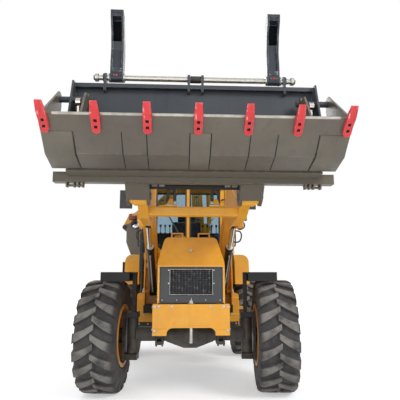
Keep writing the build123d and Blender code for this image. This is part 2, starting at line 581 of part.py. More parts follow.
# Rear frame: two slide beams across the back, closed by the stabiliser tubes
REAR_Y1 = REAR_FRAME_Y + REAR_BEAM_D
rear_frame = box(-LEG_X + 60, LEG_X - 60, REAR_FRAME_Y, REAR_Y1, 520, 660)
rear_frame = rear_frame + box(-LEG_X + 60, LEG_X - 60, REAR_FRAME_Y, REAR_Y1, 1120, 1240)
for upright_x in (-RAIL_X, RAIL_X):
    rear_frame = rear_frame + box(upright_x - 45, upright_x + 45, REAR_FRAME_Y, REAR_Y1 - 20, 600, 1180)


def leg_bar(half, z0, z1):
    return box(LEG_X - half, LEG_X + half, LEG_Y - half, LEG_Y + half, z0, z1)


rear_frame = rear_frame + both(leg_bar(LEG_TUBE / 2, LEG_LOW_Z, LEG_TOP_Z))
rear_frame = rear_frame - both(leg_bar(LEG_SIZE / 2 + PIN_GAP, LEG_LOW_Z - 5, LEG_TOP_Z + 5))
nodes["chassis_frame"] = nodes["chassis_frame"] + rear_frame
for name, side in (("left", 1), ("right", -1)):
    leg = leg_bar(LEG_SIZE / 2, FOOT_Z + 20, LEG_TOP_Z - 60)
    leg = leg + box(LEG_X - 150, LEG_X + 65, LEG_Y - 130, LEG_Y + 72, FOOT_Z, FOOT_Z + 25)
    nodes["stabiliser_" + name] = leg if side > 0 else flip(leg)

# Front knuckles, mudguards and all wheels
for name, side in (("left", 1), ("right", -1)):
    for piece, shape in (("steering_knuckle_", knuckle()), ("front_fender_", front_fender())):
        nodes[piece + name] = steered(shape if side > 0 else flip(shape), side)
for place, track, wheel_y in (("front", FRONT_TRACK_X, 0), ("rear", REAR_TRACK_X, WHEELBASE)):
    for name, side in (("left", 1), ("right", -1)):
        spot = Pos(side * track, wheel_y, TYRE_R)
        for piece, shape in (("tyre_", tyre()),("rim_", wheel_rim(side))):
            placed = spot * shape
            nodes[piece + place + "_" + name] = steered(placed, side) if place == "front" else placed

# Loader arms: two bent boxes, their lugs and the cross tube
arm_in = ARM_X - ARM_W / 2
arm_out = ARM_X + ARM_W / 2
arm = hull([(*ARM_PIVOT, PIVOT_R), (*ARM_ELBOW, ELBOW_R)], arm_in, arm_out)
fore = Vector(0, *BUCKET_PIN) - Vector(0, *ARM_ELBOW)
down = Vector(0, fore.Z, -fore.Y).normalized() * -1
if down.Z > 0:
    down = down * -1
tilt = math.asin((ELBOW_R - NOSE_R) / fore.length)
down = down.rotate(Axis.X, -math.degrees(tilt))
corner = Vector(arm_out, *ARM_ELBOW) + down * ELBOW_R
edge_way = Vector(1, 0, 0).cross(down)
bevel_plane = Plane(origin=corner - edge_way * fore.length * 1.5, x_dir=(1, 0, 0), z_dir=edge_way)
bevel_side = bevel_plane.to_local_coords(corner - down * ARM_BEVEL).Y
bevel_face = make_face(Polyline((5, 0), (-ARM_BEVEL, 0), (0, bevel_side), (5, bevel_side), close=True))
bevel = extrude(bevel_plane * bevel_face, amount=fore.length * 3)
bevel = bevel + extrude(bevel_plane * make_face(Polyline((5, 0), (-ARM_BEVEL, 0), (-ARM_BEVEL, -bevel_side / 5),
                                                         (5, -bevel_side / 5), close=True)), amount=fore.length * 3)
arm = arm + (hull([(*ARM_ELBOW, ELBOW_R), (*BUCKET_PIN, NOSE_R)], arm_in, arm_out) - bevel)
arm = arm + hull([(*LIFT_EYE, LUG_R), (LIFT_EYE[0] + 20, 2130, 110)], arm_in, arm_out)
web = [(BUCKET_PIN[0] + 60, BUCKET_PIN[1] - 75), (CROSS_BEAM[0] + 40, CROSS_BEAM[1] - 60),
       (LIFT_EYE[0] - 20, LIFT_EYE[1] - 72), (LIFT_EYE[0], 2250), (ARM_ELBOW[0] - 60, 2250)]
arm = arm + plate(web, arm_in, arm_in + 90)
tilt_lug = hull([(*TILT_BASE, 62), (ARM_ELBOW[0] + 60, ARM_ELBOW[1] + 40, 120)], arm_in + 6, arm_out - 6)
arm = arm + tilt_lug
arm = arm - xrod(ARM_PIVOT, 38 + PIN_GAP, arm_in - 50, arm_out + 50)
arm = arm - xrod(BUCKET_PIN, 34 + PIN_GAP, arm_in - 50, arm_out + 50)
eye_gap = hull([(*LIFT_EYE, EYE_ROOM), (LIFT_EYE[0] + 120, LIFT_EYE[1] - 250, EYE_ROOM)], LIFT_X - 33, LIFT_X + 33)
arm = arm - eye_gap
tilt_gap = hull([(*TILT_BASE, 66), (TILT_BASE[0] - 260, TILT_BASE[1] - 70, 66)], ARM_X - 49, ARM_X + 49)
arm = arm - tilt_gap + xrod(TILT_BASE, 28, arm_in, arm_out)
beam_top = CROSS_BEAM[1] + CROSS_BEAM_H / 2
cross = box(-arm_in - 2, arm_in + 2, CROSS_BEAM[0] - CROSS_BEAM_D / 2, CROSS_BEAM[0] + CROSS_BEAM_D / 2,
            CROSS_BEAM[1] - CROSS_BEAM_H / 2, beam_top)
cross = fillet(cross.edges().filter_by(Axis.X), 12)
cross = cross + both(box(150, 320, CROSS_BEAM[0] - 40, CROSS_BEAM[0] + 40, beam_top - 2, beam_top + 14))
ear = Polyline((160, beam_top), (262, beam_top), (226, beam_top + 78), (196, beam_top + 78), close=True)
ear_face = Plane(origin=(0, CROSS_BEAM[0] - 8, 0), x_dir=(1, 0, 0), z_dir=(0, -1, 0)) * make_face(ear)
cross = cross + both(extrude(ear_face, amount=16))
arms = both(arm) + cross
nodes["loader_arms"] = arms

lift_barrel, lift_rod = ram(LIFT_BASE, LIFT_EYE, LIFT_X, LIFT_SHORT, 45, 27, 56, 30)
nodes["lift_barrels"] = both(lift_barrel)
nodes["lift_rods"] = both(lift_rod)
tilt_barrel, tilt_rod = ram(TILT_BASE, TILT_EYE, ARM_X, TILT_SHORT, 44, 25, 54, 28)
nodes["tilt_barrels"] = both(tilt_barrel)
nodes["tilt_rods"] = both(tilt_rod)

# Loader bucket, rear half: back plate, ends, heel beam, arm brackets and fork brackets
back_line = [BACK_TOP, (-1425, 2520), BACK_HEEL, BUCKET_SEAM]


def thick_line(points, thick, x0, x1, side=Side.LEFT):
    """A bent plate: an open line of points (y, z) given its thickness on one side of its run."""
    outer = Polyline(*points)
    inner = offset(outer, amount=thick, side=side)
    return extrude(side_plane(x0) * make_face(inner), amount=x1 - x0, dir=(1, 0, 0))


back = thick_line(back_line, PLATE, -BACK_HALF_W, BACK_HALF_W)
back_end = plate([(BACK_TOP[0] + 8, BACK_TOP[1]), (-1500, BACK_TOP[1]), (-1585, 2560), (-1600, 2250), (-1545, 2100),
                  (BACK_HEEL[0] + 6, BACK_HEEL[1] + 4), (-1417, 2520)], BACK_HALF_W - PLATE, BACK_HALF_W)
beam = box(-BUCKET_HALF_W - 20, BUCKET_HALF_W + 20, BEAM_Y - BEAM_SIZE / 2, BEAM_Y + BEAM_SIZE / 2,
           BEAM_Z - BEAM_SIZE / 2, BEAM_Z + BEAM_SIZE / 2)
bracket_line = [(-1412, 2600), (-1452, 2100), (-1410, 2010), (-1300, 1875), (BUCKET_PIN[0] - 30, BUCKET_PIN[1] - 88),
                (BUCKET_PIN[0] + 60, BUCKET_PIN[1] - 68), (BUCKET_PIN[0] + 92, BUCKET_PIN[1]),
                (TILT_EYE[0] + 65, TILT_EYE[1] - 20), (TILT_EYE[0] + 20, TILT_EYE[1] + 62)]
brackets = plate(bracket_line, IN_X - 20, IN_X) + plate(bracket_line, OUT_X, OUT_X + 20)
brackets = brackets + xrod(BUCKET_PIN, 34, IN_X - 30, OUT_X + 30)
for stub_in, stub_out in ((IN_X - 28, ARM_X - 29), (ARM_X + 29, OUT_X + 28)):
    brackets = brackets + xrod(TILT_EYE, 46, stub_in, stub_out)
closing = plate([(-1410, 2000), (-1400, 2012), (-1292, 1890), (-1302, 1878)], IN_X - 2, OUT_X + 2)
fork_ear = hull([(*FORK_PIN, 42), (FORK_PIN[0] - 8, BACK_TOP[1] - 40, 30)], 0, 22)
top_lip = box(-BACK_HALF_W + 2, BACK_HALF_W - 2, BACK_TOP[0] - PLATE - 34, BACK_TOP[0] - PLATE + 2, BACK_TOP[1] - 36, BACK_TOP[1])
ears = join(Pos(48, 0, 0) * fork_ear, Pos(770, 0, 0) * fork_ear)
ears = ears - xrod(FORK_PIN, FORK_SHAFT_R + 0.3, 0, 900)
clam_base_ear = plate([(-1440, 2180), (-1440, 2290), (CLAM_BASE[0] - 20, 2265), (CLAM_BASE[0] - 20, 2205)], 0, 16)
base_ears = join(Pos(CLAM_X - 53, 0, 0) * clam_base_ear, Pos(CLAM_X + 37, 0, 0) * clam_base_ear)
base_ears = base_ears + xrod(CLAM_BASE, 16, CLAM_X - 53, CLAM_X + 53)
moldboard = back + both(back_end) + top_lip + beam + both(brackets) + both(closing) + both(ears) + both(base_ears)
moldboard = moldboard + both(xrod(CLAM_PIN, 26, BRACE_X - 30, BUCKET_HALF_W - 6))
nodes["bucket_back"] = moldboard
shaft = xrod(FORK_PIN, FORK_SHAFT_R, -FORK_SHAFT_HALF, FORK_SHAFT_HALF)
shaft_collars = ((FORK_X + FORK_W / 2 + SIDE_GAP, 10, 40), (FORK_X - FORK_W / 2 - SIDE_GAP - 10, 10, 40),
                 (FORK_SHAFT_HALF - 26, 26, 36))
for collar_x, collar_len, collar_r in shaft_collars:
    shaft = shaft + both(xrod(FORK_PIN, collar_r, collar_x, collar_x + collar_len))
nodes["fork_shaft"] = shaft

# Loader bucket, front half: floor, side plates and inner braces up to the clam pins
floor_line = [BUCKET_SEAM, BUCKET_BEND, BUCKET_LIP]
floor_shift = 4.0
clam_floor = thick_line([(y - floor_shift, z) for y, z in floor_line], PLATE, -BUCKET_HALF_W,
                        BUCKET_HALF_W, Side.RIGHT)
side_line = [(BUCKET_SEAM[0] - 10, BUCKET_SEAM[1] + 5), BUCKET_BEND, BUCKET_LIP, (-1930, 2420), (CLAM_PIN[0] - 20, 2755),
             (CLAM_PIN[0] + 45, 2735), (CLAM_PIN[0] + 45, 2640)]
clam_side = plate(side_line, BUCKET_HALF_W - PLATE, BUCKET_HALF_W)
brace_line = [(-1700, 2142), (-1760, 2162), (-1900, 2296), (CLAM_PIN[0] - 130, CLAM_PIN[1] + 10), CLAM_PIN, (-1640, 2500)]
clam_brace = plate(brace_line, BRACE_X, BRACE_X + PLATE) + xrod(CLAM_PIN, 50, BRACE_X, BRACE_X + PLATE)
clam = clam_floor + both(clam_side) + both(clam_brace)
clam = clam - both(xrod(CLAM_PIN, 26 + PIN_GAP, BRACE_X - 50, BUCKET_HALF_W + 50))
for stub_in, stub_out in ((BRACE_X + PLATE - 1, CLAM_X - 26),):
    clam = clam + both(xrod(CLAM_EYE, 26, stub_in, stub_out))
nodes["bucket_clam"] = clam
clam_barrel, clam_rod = ram(CLAM_BASE, CLAM_EYE, CLAM_X, CLAM_SHORT, 32, 18, 40, 16)
nodes["clam_barrels"] = both(clam_barrel)
nodes["clam_rods"] = both(clam_rod)

# Seven bolt-on teeth under the cutting edge
lip = Vector(0, *BUCKET_LIP)
edge_run = (lip - Vector(0, *BUCKET_BEND)).normalized()
edge_down = Vector(0, edge_run.Z, -edge_run.Y) * -1


def edge_point(along, down):
    spot = lip + edge_run * along + edge_down * down
    return spot.Y, spot.Z


tooth_line = [edge_point(-TOOTH_BACK, 2), edge_point(-TOOTH_BACK, 34), edge_point(10, 34),
              edge_point(TOOTH_AHEAD, 6), edge_point(TOOTH_AHEAD, -2), edge_point(6, -18), edge_point(4, 2)]
teeth = None
for index in range(TOOTH_COUNT):
    tooth_x = (2 * index / (TOOTH_COUNT - 1) - 1) * (BUCKET_HALF_W - TOOTH_EDGE)
    tooth = plate(tooth_line, tooth_x - TOOTH_W / 2, tooth_x + TOOTH_W / 2)
    teeth = tooth if teeth is None else teeth + tooth
nodes["bucket_teeth"] = teeth - nodes["bucket_clam"]

# Flip-over fork arms: hooked box bars that turn on the shaft, with a set-back web and a pocket at the tip
FORK_CHEEK = 16.0
fork_line = [(-38, -8), (38, -8), (66, 100), (95, 200), (70, 330), (-30, 560), (-125, 575), (-120, 520),
             (-60, 400), (-30, 260), (-40, 120)]


def fork_spot(y, z):
    return FORK_PIN[0] + y, FORK_PIN[1] + z


half_fork = FORK_W / 2
fork_arm = plate([fork_spot(y, z) for y, z in fork_line], FORK_X - half_fork, FORK_X + half_fork)
fork_arm = fork_arm + xrod(FORK_PIN, 40, FORK_X - half_fork, FORK_X + half_fork)
web_line = [(-60, 60), (-26, 60), (-22, 120), (-12, 260), (-46, 420), (-112, 548), (-200, 548), (-200, 60)]
fork_arm = fork_arm - plate([fork_spot(y, z) for y, z in web_line], FORK_X - half_fork + FORK_CHEEK,
                            FORK_X + half_fork - FORK_CHEEK)
pocket_line = [(-30, 330), (25, 345), (-45, 520), (-110, 530)]
fork_arm = fork_arm - plate([fork_spot(y, z) for y, z in pocket_line], FORK_X - half_fork + FORK_CHEEK,
                            FORK_X + half_fork - FORK_CHEEK)
for ear_x in (FORK_X - half_fork + 4, FORK_X + half_fork - 16):
    fork_arm = fork_arm + hull([(*fork_spot(-75, 578), 22), (*fork_spot(-75, 545), 22)], ear_x, ear_x + 12)
fork_arm = fork_arm - xrod(FORK_PIN, FORK_SHAFT_R + PIN_GAP, FORK_X - FORK_W, FORK_X + FORK_W)
nodes["fork_arm_left"] = fork_arm
nodes["fork_arm_right"] = flip(fork_arm)


SLEW_Y = REAR_Y1 + SLEW_OUT


def slewed(shape):
    """Puts a piece of the backhoe, drawn straight back from the slew axis, in its rest position."""
    return Pos(SLEW_X, SLEW_Y, 0) * Rot(0, 0, SLEW_REST) * shape


# Side-shift carriage: a plate on the slide beams with two ears round the slew pin
PLATE_Y = REAR_Y1 + PIN_GAP
carriage = box(SLEW_X - 230, SLEW_X + 230, PLATE_Y, PLATE_Y + 50, 500, 1260)
for low, high in ((560, 620), (940, 1000)):
    ear = box(SLEW_X - 95, SLEW_X + 95, PLATE_Y + 40, SLEW_Y, low, high) + zrod(SLEW_X, SLEW_Y, 95, low, high)
    carriage = carriage + ear
carriage = carriage - zrod(SLEW_X, SLEW_Y, 40 + PIN_GAP, 500, 1100)
for low, high in ((488, 500), (1260, 1272)):
    carriage = carriage + box(SLEW_X - 230, SLEW_X + 230, REAR_FRAME_Y + 60, PLATE_Y + 50, low, high)
nodes["shift_carriage"] = carriage

# Slew post: king pin, barrel, boom cheeks and the boom cylinder's bracket
post = zrod(0, 0, 40, 545, 1012) + zrod(0, 0, 80, 625, 935)
cheek_foot = hull([(0, 780, 150), (*BOOM_PIN, 88)], BOOM_W / 2 + SIDE_GAP, BOOM_W / 2 + 30)
post = post + both(cheek_foot) + box(-BOOM_W / 2 - 20, BOOM_W / 2 + 20, -75, 75, 640, 925)
post = post - box(-BOOM_W / 2 - SIDE_GAP, BOOM_W / 2 + SIDE_GAP, 95, 400, 500, 1000)
post = post + xrod(BOOM_PIN, 36, -BOOM_W / 2 - 45, BOOM_W / 2 + 45)
post = post + zrod(0, 0, 70, 1005, 1022)
post = post + both(hull([(*BOOM_BASE, 48), (-20, 1055, 50)], 50, 68)) + box(-68, 68, -90, 60, 1008, 1030)
post = post + xrod(BOOM_BASE, 26, -76, 76)
nodes["slew_post"] = slewed(post)

# Boom, dipper and digging bucket
half_boom = BOOM_W / 2
boom = hull([(*BOOM_PIN, 85), (*BOOM_KNEE, 120)], -half_boom, half_boom)
boom = boom + hull([(*BOOM_KNEE, 120), (DIPPER_PIN[0] - 25, DIPPER_PIN[1] - 330, 95)], -half_boom, half_boom)
for cheek_x in (-half_boom, half_boom - 18):
    boom = boom + hull([(DIPPER_PIN[0] - 25, DIPPER_PIN[1] - 330, 95), (*DIPPER_PIN, 80)], cheek_x, cheek_x + 18)
lug_low = hull([(BOOM_EYE[0], BOOM_EYE[1], 48), (STICK_BASE[0], STICK_BASE[1], 48), (150, 2120, 110)], 47, 65)
boom = boom + both(lug_low + xrod(BOOM_EYE, 26, 36, 72))
boom = boom + xrod(DIPPER_PIN, 34, -half_boom - 12, half_boom + 12)
boom = boom + xrod(STICK_BASE, 26, -72, 72) - xrod(BOOM_PIN, 36 + PIN_GAP, -200, 200)
nodes["dig_boom"] = slewed(boom)

half_stick = DIPPER_W / 2
EAR_IN = half_stick + 28
EAR_OUT = EAR_IN + 18
stick = hull([(*DIPPER_PIN, 92), (*DIG_PIN, 70)], -half_stick, half_stick)
stick = stick + hull([(*DIPPER_PIN, 92), (STICK_EYE[0], STICK_EYE[1], 46)], -half_stick, half_stick)
stick = stick - hull([(*STICK_EYE, EYE_ROOM), (STICK_EYE[0] - 60, STICK_EYE[1] - 240, EYE_ROOM)], -34, 34)
curl_lug = hull([(*CURL_BASE, 48), (560, 3010, 70), (720, 2860, 60)], 43, 61)
stick = stick + both(curl_lug) + xrod(CURL_BASE, 26, -68, 68)
stick = stick + xrod(ROCKER_PIN, 26, -EAR_OUT - 10, EAR_OUT + 10)
stick = stick - xrod(DIPPER_PIN, 34 + PIN_GAP, -200, 200) - xrod(DIG_PIN, 30 + PIN_GAP, -200, 200)
nodes["dipper"] = slewed(stick)

dig_line = [DIG_PIN, (1500, 2180), (1560, 2060), (1560, 1850), (1470, 1620), (1300, 1480), (1080, 1450),
            (830, 1640), (1010, 1830), (1290, 2110)]
inner_line = [(1390, 2130), (1490, 2120), (1544, 2040), (1544, 1856), (1458, 1632), (1294, 1497), (1086, 1467),
              (760, 1714), (1000, 1960), (1290, 2110)]
dig_body = plate(dig_line, -DIG_HALF_W, DIG_HALF_W) - plate(inner_line, -DIG_HALF_W + 14, DIG_HALF_W - 14)
dig_body = dig_body - box(-half_stick - 200, half_stick + 200, DIG_PIN[0] - 300, DIG_PIN[0] + 300, 2105, 2300)
dig_ear = hull([(*DIG_PIN, 62), (*LINK_PIN, 46), (1520, 2060, 40)], EAR_IN, EAR_OUT)
dig_ear = dig_ear + xrod(DIG_PIN, 52, half_stick + SIDE_GAP, EAR_IN + 1) + xrod(LINK_PIN, 24, EAR_IN, EAR_OUT + 10)
dig_body = dig_body + both(dig_ear) + xrod(DIG_PIN, 30, -EAR_OUT - 10, EAR_OUT + 10)
for tooth_x in (-240, -120, 0, 120, 240):
    dig_body = dig_body + plate([(880, 1590), (905, 1625), (790, 1700), (755, 1700)], tooth_x - 28, tooth_x + 28)
nodes["dig_bucket"] = slewed(dig_body)

rocker = hull([(*ROCKER_PIN, 46), (*ROCKER_END, 44)], EAR_IN, EAR_OUT)
rocker = both(rocker + xrod(ROCKER_PIN, 44, half_stick + SIDE_GAP, EAR_IN + 1) + xrod(ROCKER_END, 24, 33, EAR_OUT + 10))
rocker = rocker - xrod(ROCKER_PIN, 26 + PIN_GAP, -200, 200)
nodes["bucket_rocker"] = slewed(rocker)
link = hull([(*ROCKER_END, 42), (*LINK_PIN, 42)], half_stick + SIDE_GAP, EAR_IN - SIDE_GAP)
link = both(link - xrod(ROCKER_END, 24 + PIN_GAP, 0, 200))
nodes["bucket_link"] = slewed(link)

for label, base, eye, short, sizes in (("boom", BOOM_BASE, BOOM_EYE, BOOM_SHORT, (45, 26, 60, 26)),
                                       ("stick", STICK_BASE, STICK_EYE, STICK_SHORT, (42, 24, 56, 26)),
                                       ("curl", CURL_BASE, ROCKER_END, CURL_SHORT, (38, 22, 56, 26))):
    barrel, piston = ram(base, eye, 0, short, *sizes)
    nodes[label + "_barrel"] = slewed(barrel)
    nodes[label + "_rod"] = slewed(piston)

# The origin goes under the middle of everything, on the ground
span_y = [(shape.bounding_box().min.Y, shape.bounding_box().max.Y) for shape in nodes.values()]
span_x = [(shape.bounding_box().min.X, shape.bounding_box().max.X) for shape in nodes.values()]
SHIFT_Y = -(min(low for low, high in span_y) + max(high for low, high in span_y)) / 2
SHIFT_X = -(min(low for low, high in span_x) + max(high for low, high in span_x)) / 2

os.makedirs("parts", exist_ok=True)
for name, shape in nodes.items():
    export_step(Pos(SHIFT_X, SHIFT_Y, 0) * shape, "parts/" + name + ".step")
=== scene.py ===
# %% [markdown]
# The backhoe loader comes in as a fixed frame of solids, in metres. Everything below dresses that frame:
# first the camera and the light, then the finishes, then the pieces that the solids leave out.
# %% Load the frame
import json
import math
import bmesh
import bpy
from mathutils import Matrix, Vector


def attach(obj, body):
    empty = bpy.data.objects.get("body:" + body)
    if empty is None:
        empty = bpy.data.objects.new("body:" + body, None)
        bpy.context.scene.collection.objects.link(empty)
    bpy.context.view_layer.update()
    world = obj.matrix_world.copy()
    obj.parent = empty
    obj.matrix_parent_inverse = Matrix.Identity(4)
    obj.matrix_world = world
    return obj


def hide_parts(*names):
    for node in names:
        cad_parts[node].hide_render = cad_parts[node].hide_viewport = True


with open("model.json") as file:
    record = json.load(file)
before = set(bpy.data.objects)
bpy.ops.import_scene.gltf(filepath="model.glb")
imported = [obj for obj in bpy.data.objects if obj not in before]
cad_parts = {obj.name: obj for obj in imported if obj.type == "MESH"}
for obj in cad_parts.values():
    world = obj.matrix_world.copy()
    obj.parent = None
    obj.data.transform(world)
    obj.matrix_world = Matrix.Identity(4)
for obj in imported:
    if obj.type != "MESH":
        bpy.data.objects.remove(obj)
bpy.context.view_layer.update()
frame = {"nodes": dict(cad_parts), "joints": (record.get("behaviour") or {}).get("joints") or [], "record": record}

nodes = frame["nodes"]
print("frame with", len(nodes), "solids")

# %% [markdown]
# The photo looks up at the nose from a low stand, a little to the right of the middle. The eye height, the
# tilt and the lens were worked out from the two front tyres and the lines of the arms, so the same values
# are written here.
# %% Camera
EYE_HEIGHT = 1.245
EYE_AHEAD = 4.95
EYE_SIDE = -0.14
TILT_UP = 9.9
TURN = 2.9
LENS_MM = 38.7
pin = next(j for j in frame["joints"] if j["name"] == "steer_left")["pos_m"]
pin_right = next(j for j in frame["joints"] if j["name"] == "steer_right")["pos_m"]
axle_y = pin[1]
mid_x = (pin[0] + pin_right[0]) / 2
camera = bpy.data.objects.new("camera", bpy.data.cameras.new("camera"))
bpy.context.scene.collection.objects.link(camera)
bpy.context.scene.camera = camera
camera.data.lens = LENS_MM
camera.data.sensor_width = 36.0
camera.data.clip_end = 200.0
camera.location = (mid_x + EYE_SIDE, axle_y - EYE_AHEAD, EYE_HEIGHT)
turn = math.radians(TURN)
tilt = math.radians(TILT_UP)
look = Vector((math.sin(turn) * math.cos(tilt), math.cos(turn) * math.cos(tilt), math.sin(tilt)))
camera.rotation_euler = look.to_track_quat("-Z", "Y").to_euler()
print("camera at", tuple(round(v, 3) for v in camera.location))

# %% [markdown]
# A studio lights a big machine with large soft lamps. One broad lamp high on the right gives the shape,
# weaker ones fill the shadows, and the world adds an even pale light from all round. What the camera sees
# of the world is white: a Light Path node gives camera, mirror and glass rays a strength of 1, and all
# other rays the dimmer light.
# %% Lights
scene = bpy.context.scene
scene.view_settings.view_transform = "Standard"
lamps = {
    "key lamp": ((7.0, -8.0, 7.5), 720.0, 4.0),
    "front lamp": ((-1.5, -10.5, 2.2), 170.0, 6.0),
    "fill lamp": ((-8.0, -5.0, 4.0), 240.0, 6.0),
    "back lamp": ((-2.0, 9.0, 8.0), 380.0, 5.0),
}
for name, (spot, power, size) in lamps.items():
    light = bpy.data.lights.new(name, "AREA")
    light.energy = power
    light.size = size
    lamp = bpy.data.objects.new(name, light)
    scene.collection.objects.link(lamp)
    lamp.location = spot
    lamp.rotation_euler = (Vector((0, 0, 1.4)) - Vector(spot)).to_track_quat("-Z", "Y").to_euler()


def new_nodes(thing):
    """Gives a material or a world an empty node tree."""
    thing.use_nodes = True
    thing.node_tree.nodes.clear()
    return thing.node_tree


def add(tree, kind, **values):
    """Adds a node, sets its named inputs and returns it."""
    node = tree.nodes.new(kind)
    for key, value in values.items():
        node.inputs[key.replace("_", " ")].default_value = value
    return node


def maths(tree, operation, first, second=None):
    """Adds a Math node whose inputs are numbers or sockets, and returns its output."""
    node = tree.nodes.new("ShaderNodeMath")
    node.operation = operation
    for place, value in enumerate((first, second)):
        if isinstance(value, (int, float)):
            node.inputs[place].default_value = value
        elif value is not None:
            tree.links.new(value, node.inputs[place])
    return node.outputs[0]


def seen_rays(tree):
    """1 for rays from the camera, from a mirror or through glass, and 0 for all others."""
    path = add(tree, "ShaderNodeLightPath")
    either = maths(tree, "MAXIMUM", path.outputs["Is Camera Ray"], path.outputs["Is Glossy Ray"])
    return maths(tree, "MAXIMUM", either, path.outputs["Is Transmission Ray"])


world = bpy.data.worlds.new("pale studio")
scene.world = world
tree = new_nodes(world)
lit = add(tree, "ShaderNodeBackground", Color=(0.88, 0.93, 1.0, 1.0), Strength=0.5)
shown = add(tree, "ShaderNodeBackground", Color=(1.0, 1.0, 1.0, 1.0), Strength=1.0)
mix = add(tree, "ShaderNodeMixShader")
out = add(tree, "ShaderNodeOutputWorld")
tree.links.new(seen_rays(tree), mix.inputs[0])
tree.links.new(lit.outputs[0], mix.inputs[1])
tree.links.new(shown.outputs[0], mix.inputs[2])
tree.links.new(mix.outputs[0], out.inputs[0])

# %% [markdown]
# The floor only has to carry the shadow, and the photo's ground is as white as its sky. So its paint is a
# diffuse white that the camera sees with a little light of its own added: the shadow stays, and the rest
# fades to white.
# %% Floor
FLOOR_LIFT = 0.42
bm = bmesh.new()
bmesh.ops.create_circle(bm, cap_ends=True, radius=60.0, segments=96)
floor_mesh = bpy.data.meshes.new("studio_floor")
bm.to_mesh(floor_mesh)
bm.free()
floor = bpy.data.objects.new("studio_floor", floor_mesh)
scene.collection.objects.link(floor)
floor_paint = bpy.data.materials.new("floor paint")
tree = new_nodes(floor_paint)
bsdf = add(tree, "ShaderNodeBsdfPrincipled", Base_Color=(0.86, 0.86, 0.86, 1.0), Roughness=0.9)
bsdf.inputs["Emission Color"].default_value = (1.0, 1.0, 1.0, 1.0)
ground = add(tree, "ShaderNodeTexCoord").outputs["Object"]
reach = tree.nodes.new("ShaderNodeVectorMath")
reach.operation = "LENGTH"
tree.links.new(ground, reach.inputs[0])
far_off = add(tree, "ShaderNodeMapRange")
for label, value in (("From Min", 3.5), ("From Max", 11.0), ("To Min", FLOOR_LIFT), ("To Max", 1.0)):
    far_off.inputs[label].default_value = value
tree.links.new(reach.outputs["Value"], far_off.inputs["Value"])
lifted = maths(tree, "MULTIPLY", seen_rays(tree), far_off.outputs["Result"])
tree.links.new(lifted, bsdf.inputs["Emission Strength"])
out = add(tree, "ShaderNodeOutputMaterial")
tree.links.new(bsdf.outputs[0], out.inputs[0])
floor.data.materials.append(floor_paint)

# %% [markdown]
# Paint on a working machine is never one flat colour. Each finish starts from a principled shader, mixes
# two near colours with a slow noise, dulls its gloss with a second noise, and gets a fine bump. A Bevel
# node rounds the edges for the light, and where its normal leaves the flat one there is an edge: noise
# breaks it up, and there the worn colour shows. Low parts also gather dust, which the height and a noise
# place.


# %% Finishes
def noise_of(tree, coords, scale, detail=5.0):
    """A noise on Object coordinates."""
    noise = add(tree, "ShaderNodeTexNoise", Scale=scale, Detail=detail, Roughness=0.6)
    tree.links.new(coords, noise.inputs["Vector"])
    return noise.outputs["Fac"]


def steps(tree, value, low, high, clamp=True):
    """Turns a value from low to high into 0 to 1."""
    node = add(tree, "ShaderNodeMapRange")
    node.clamp = clamp
    node.inputs["From Min"].default_value = low
    node.inputs["From Max"].default_value = high
    tree.links.new(value, node.inputs["Value"])
    return node.outputs["Result"]


def mix_colour(tree, share, first, second):
    """Mixes two colours, each a socket or three numbers, by a share."""
    node = tree.nodes.new("ShaderNodeMix")
    node.data_type = "RGBA"
    tree.links.new(share, node.inputs["Factor"])
    for place, value in ((6, first), (7, second)):
        if isinstance(value, tuple):
            node.inputs[place].default_value = (*value, 1.0)
        else:
            tree.links.new(value, node.inputs[place])
    return node.outputs[2]


DUST = (0.30, 0.245, 0.175)


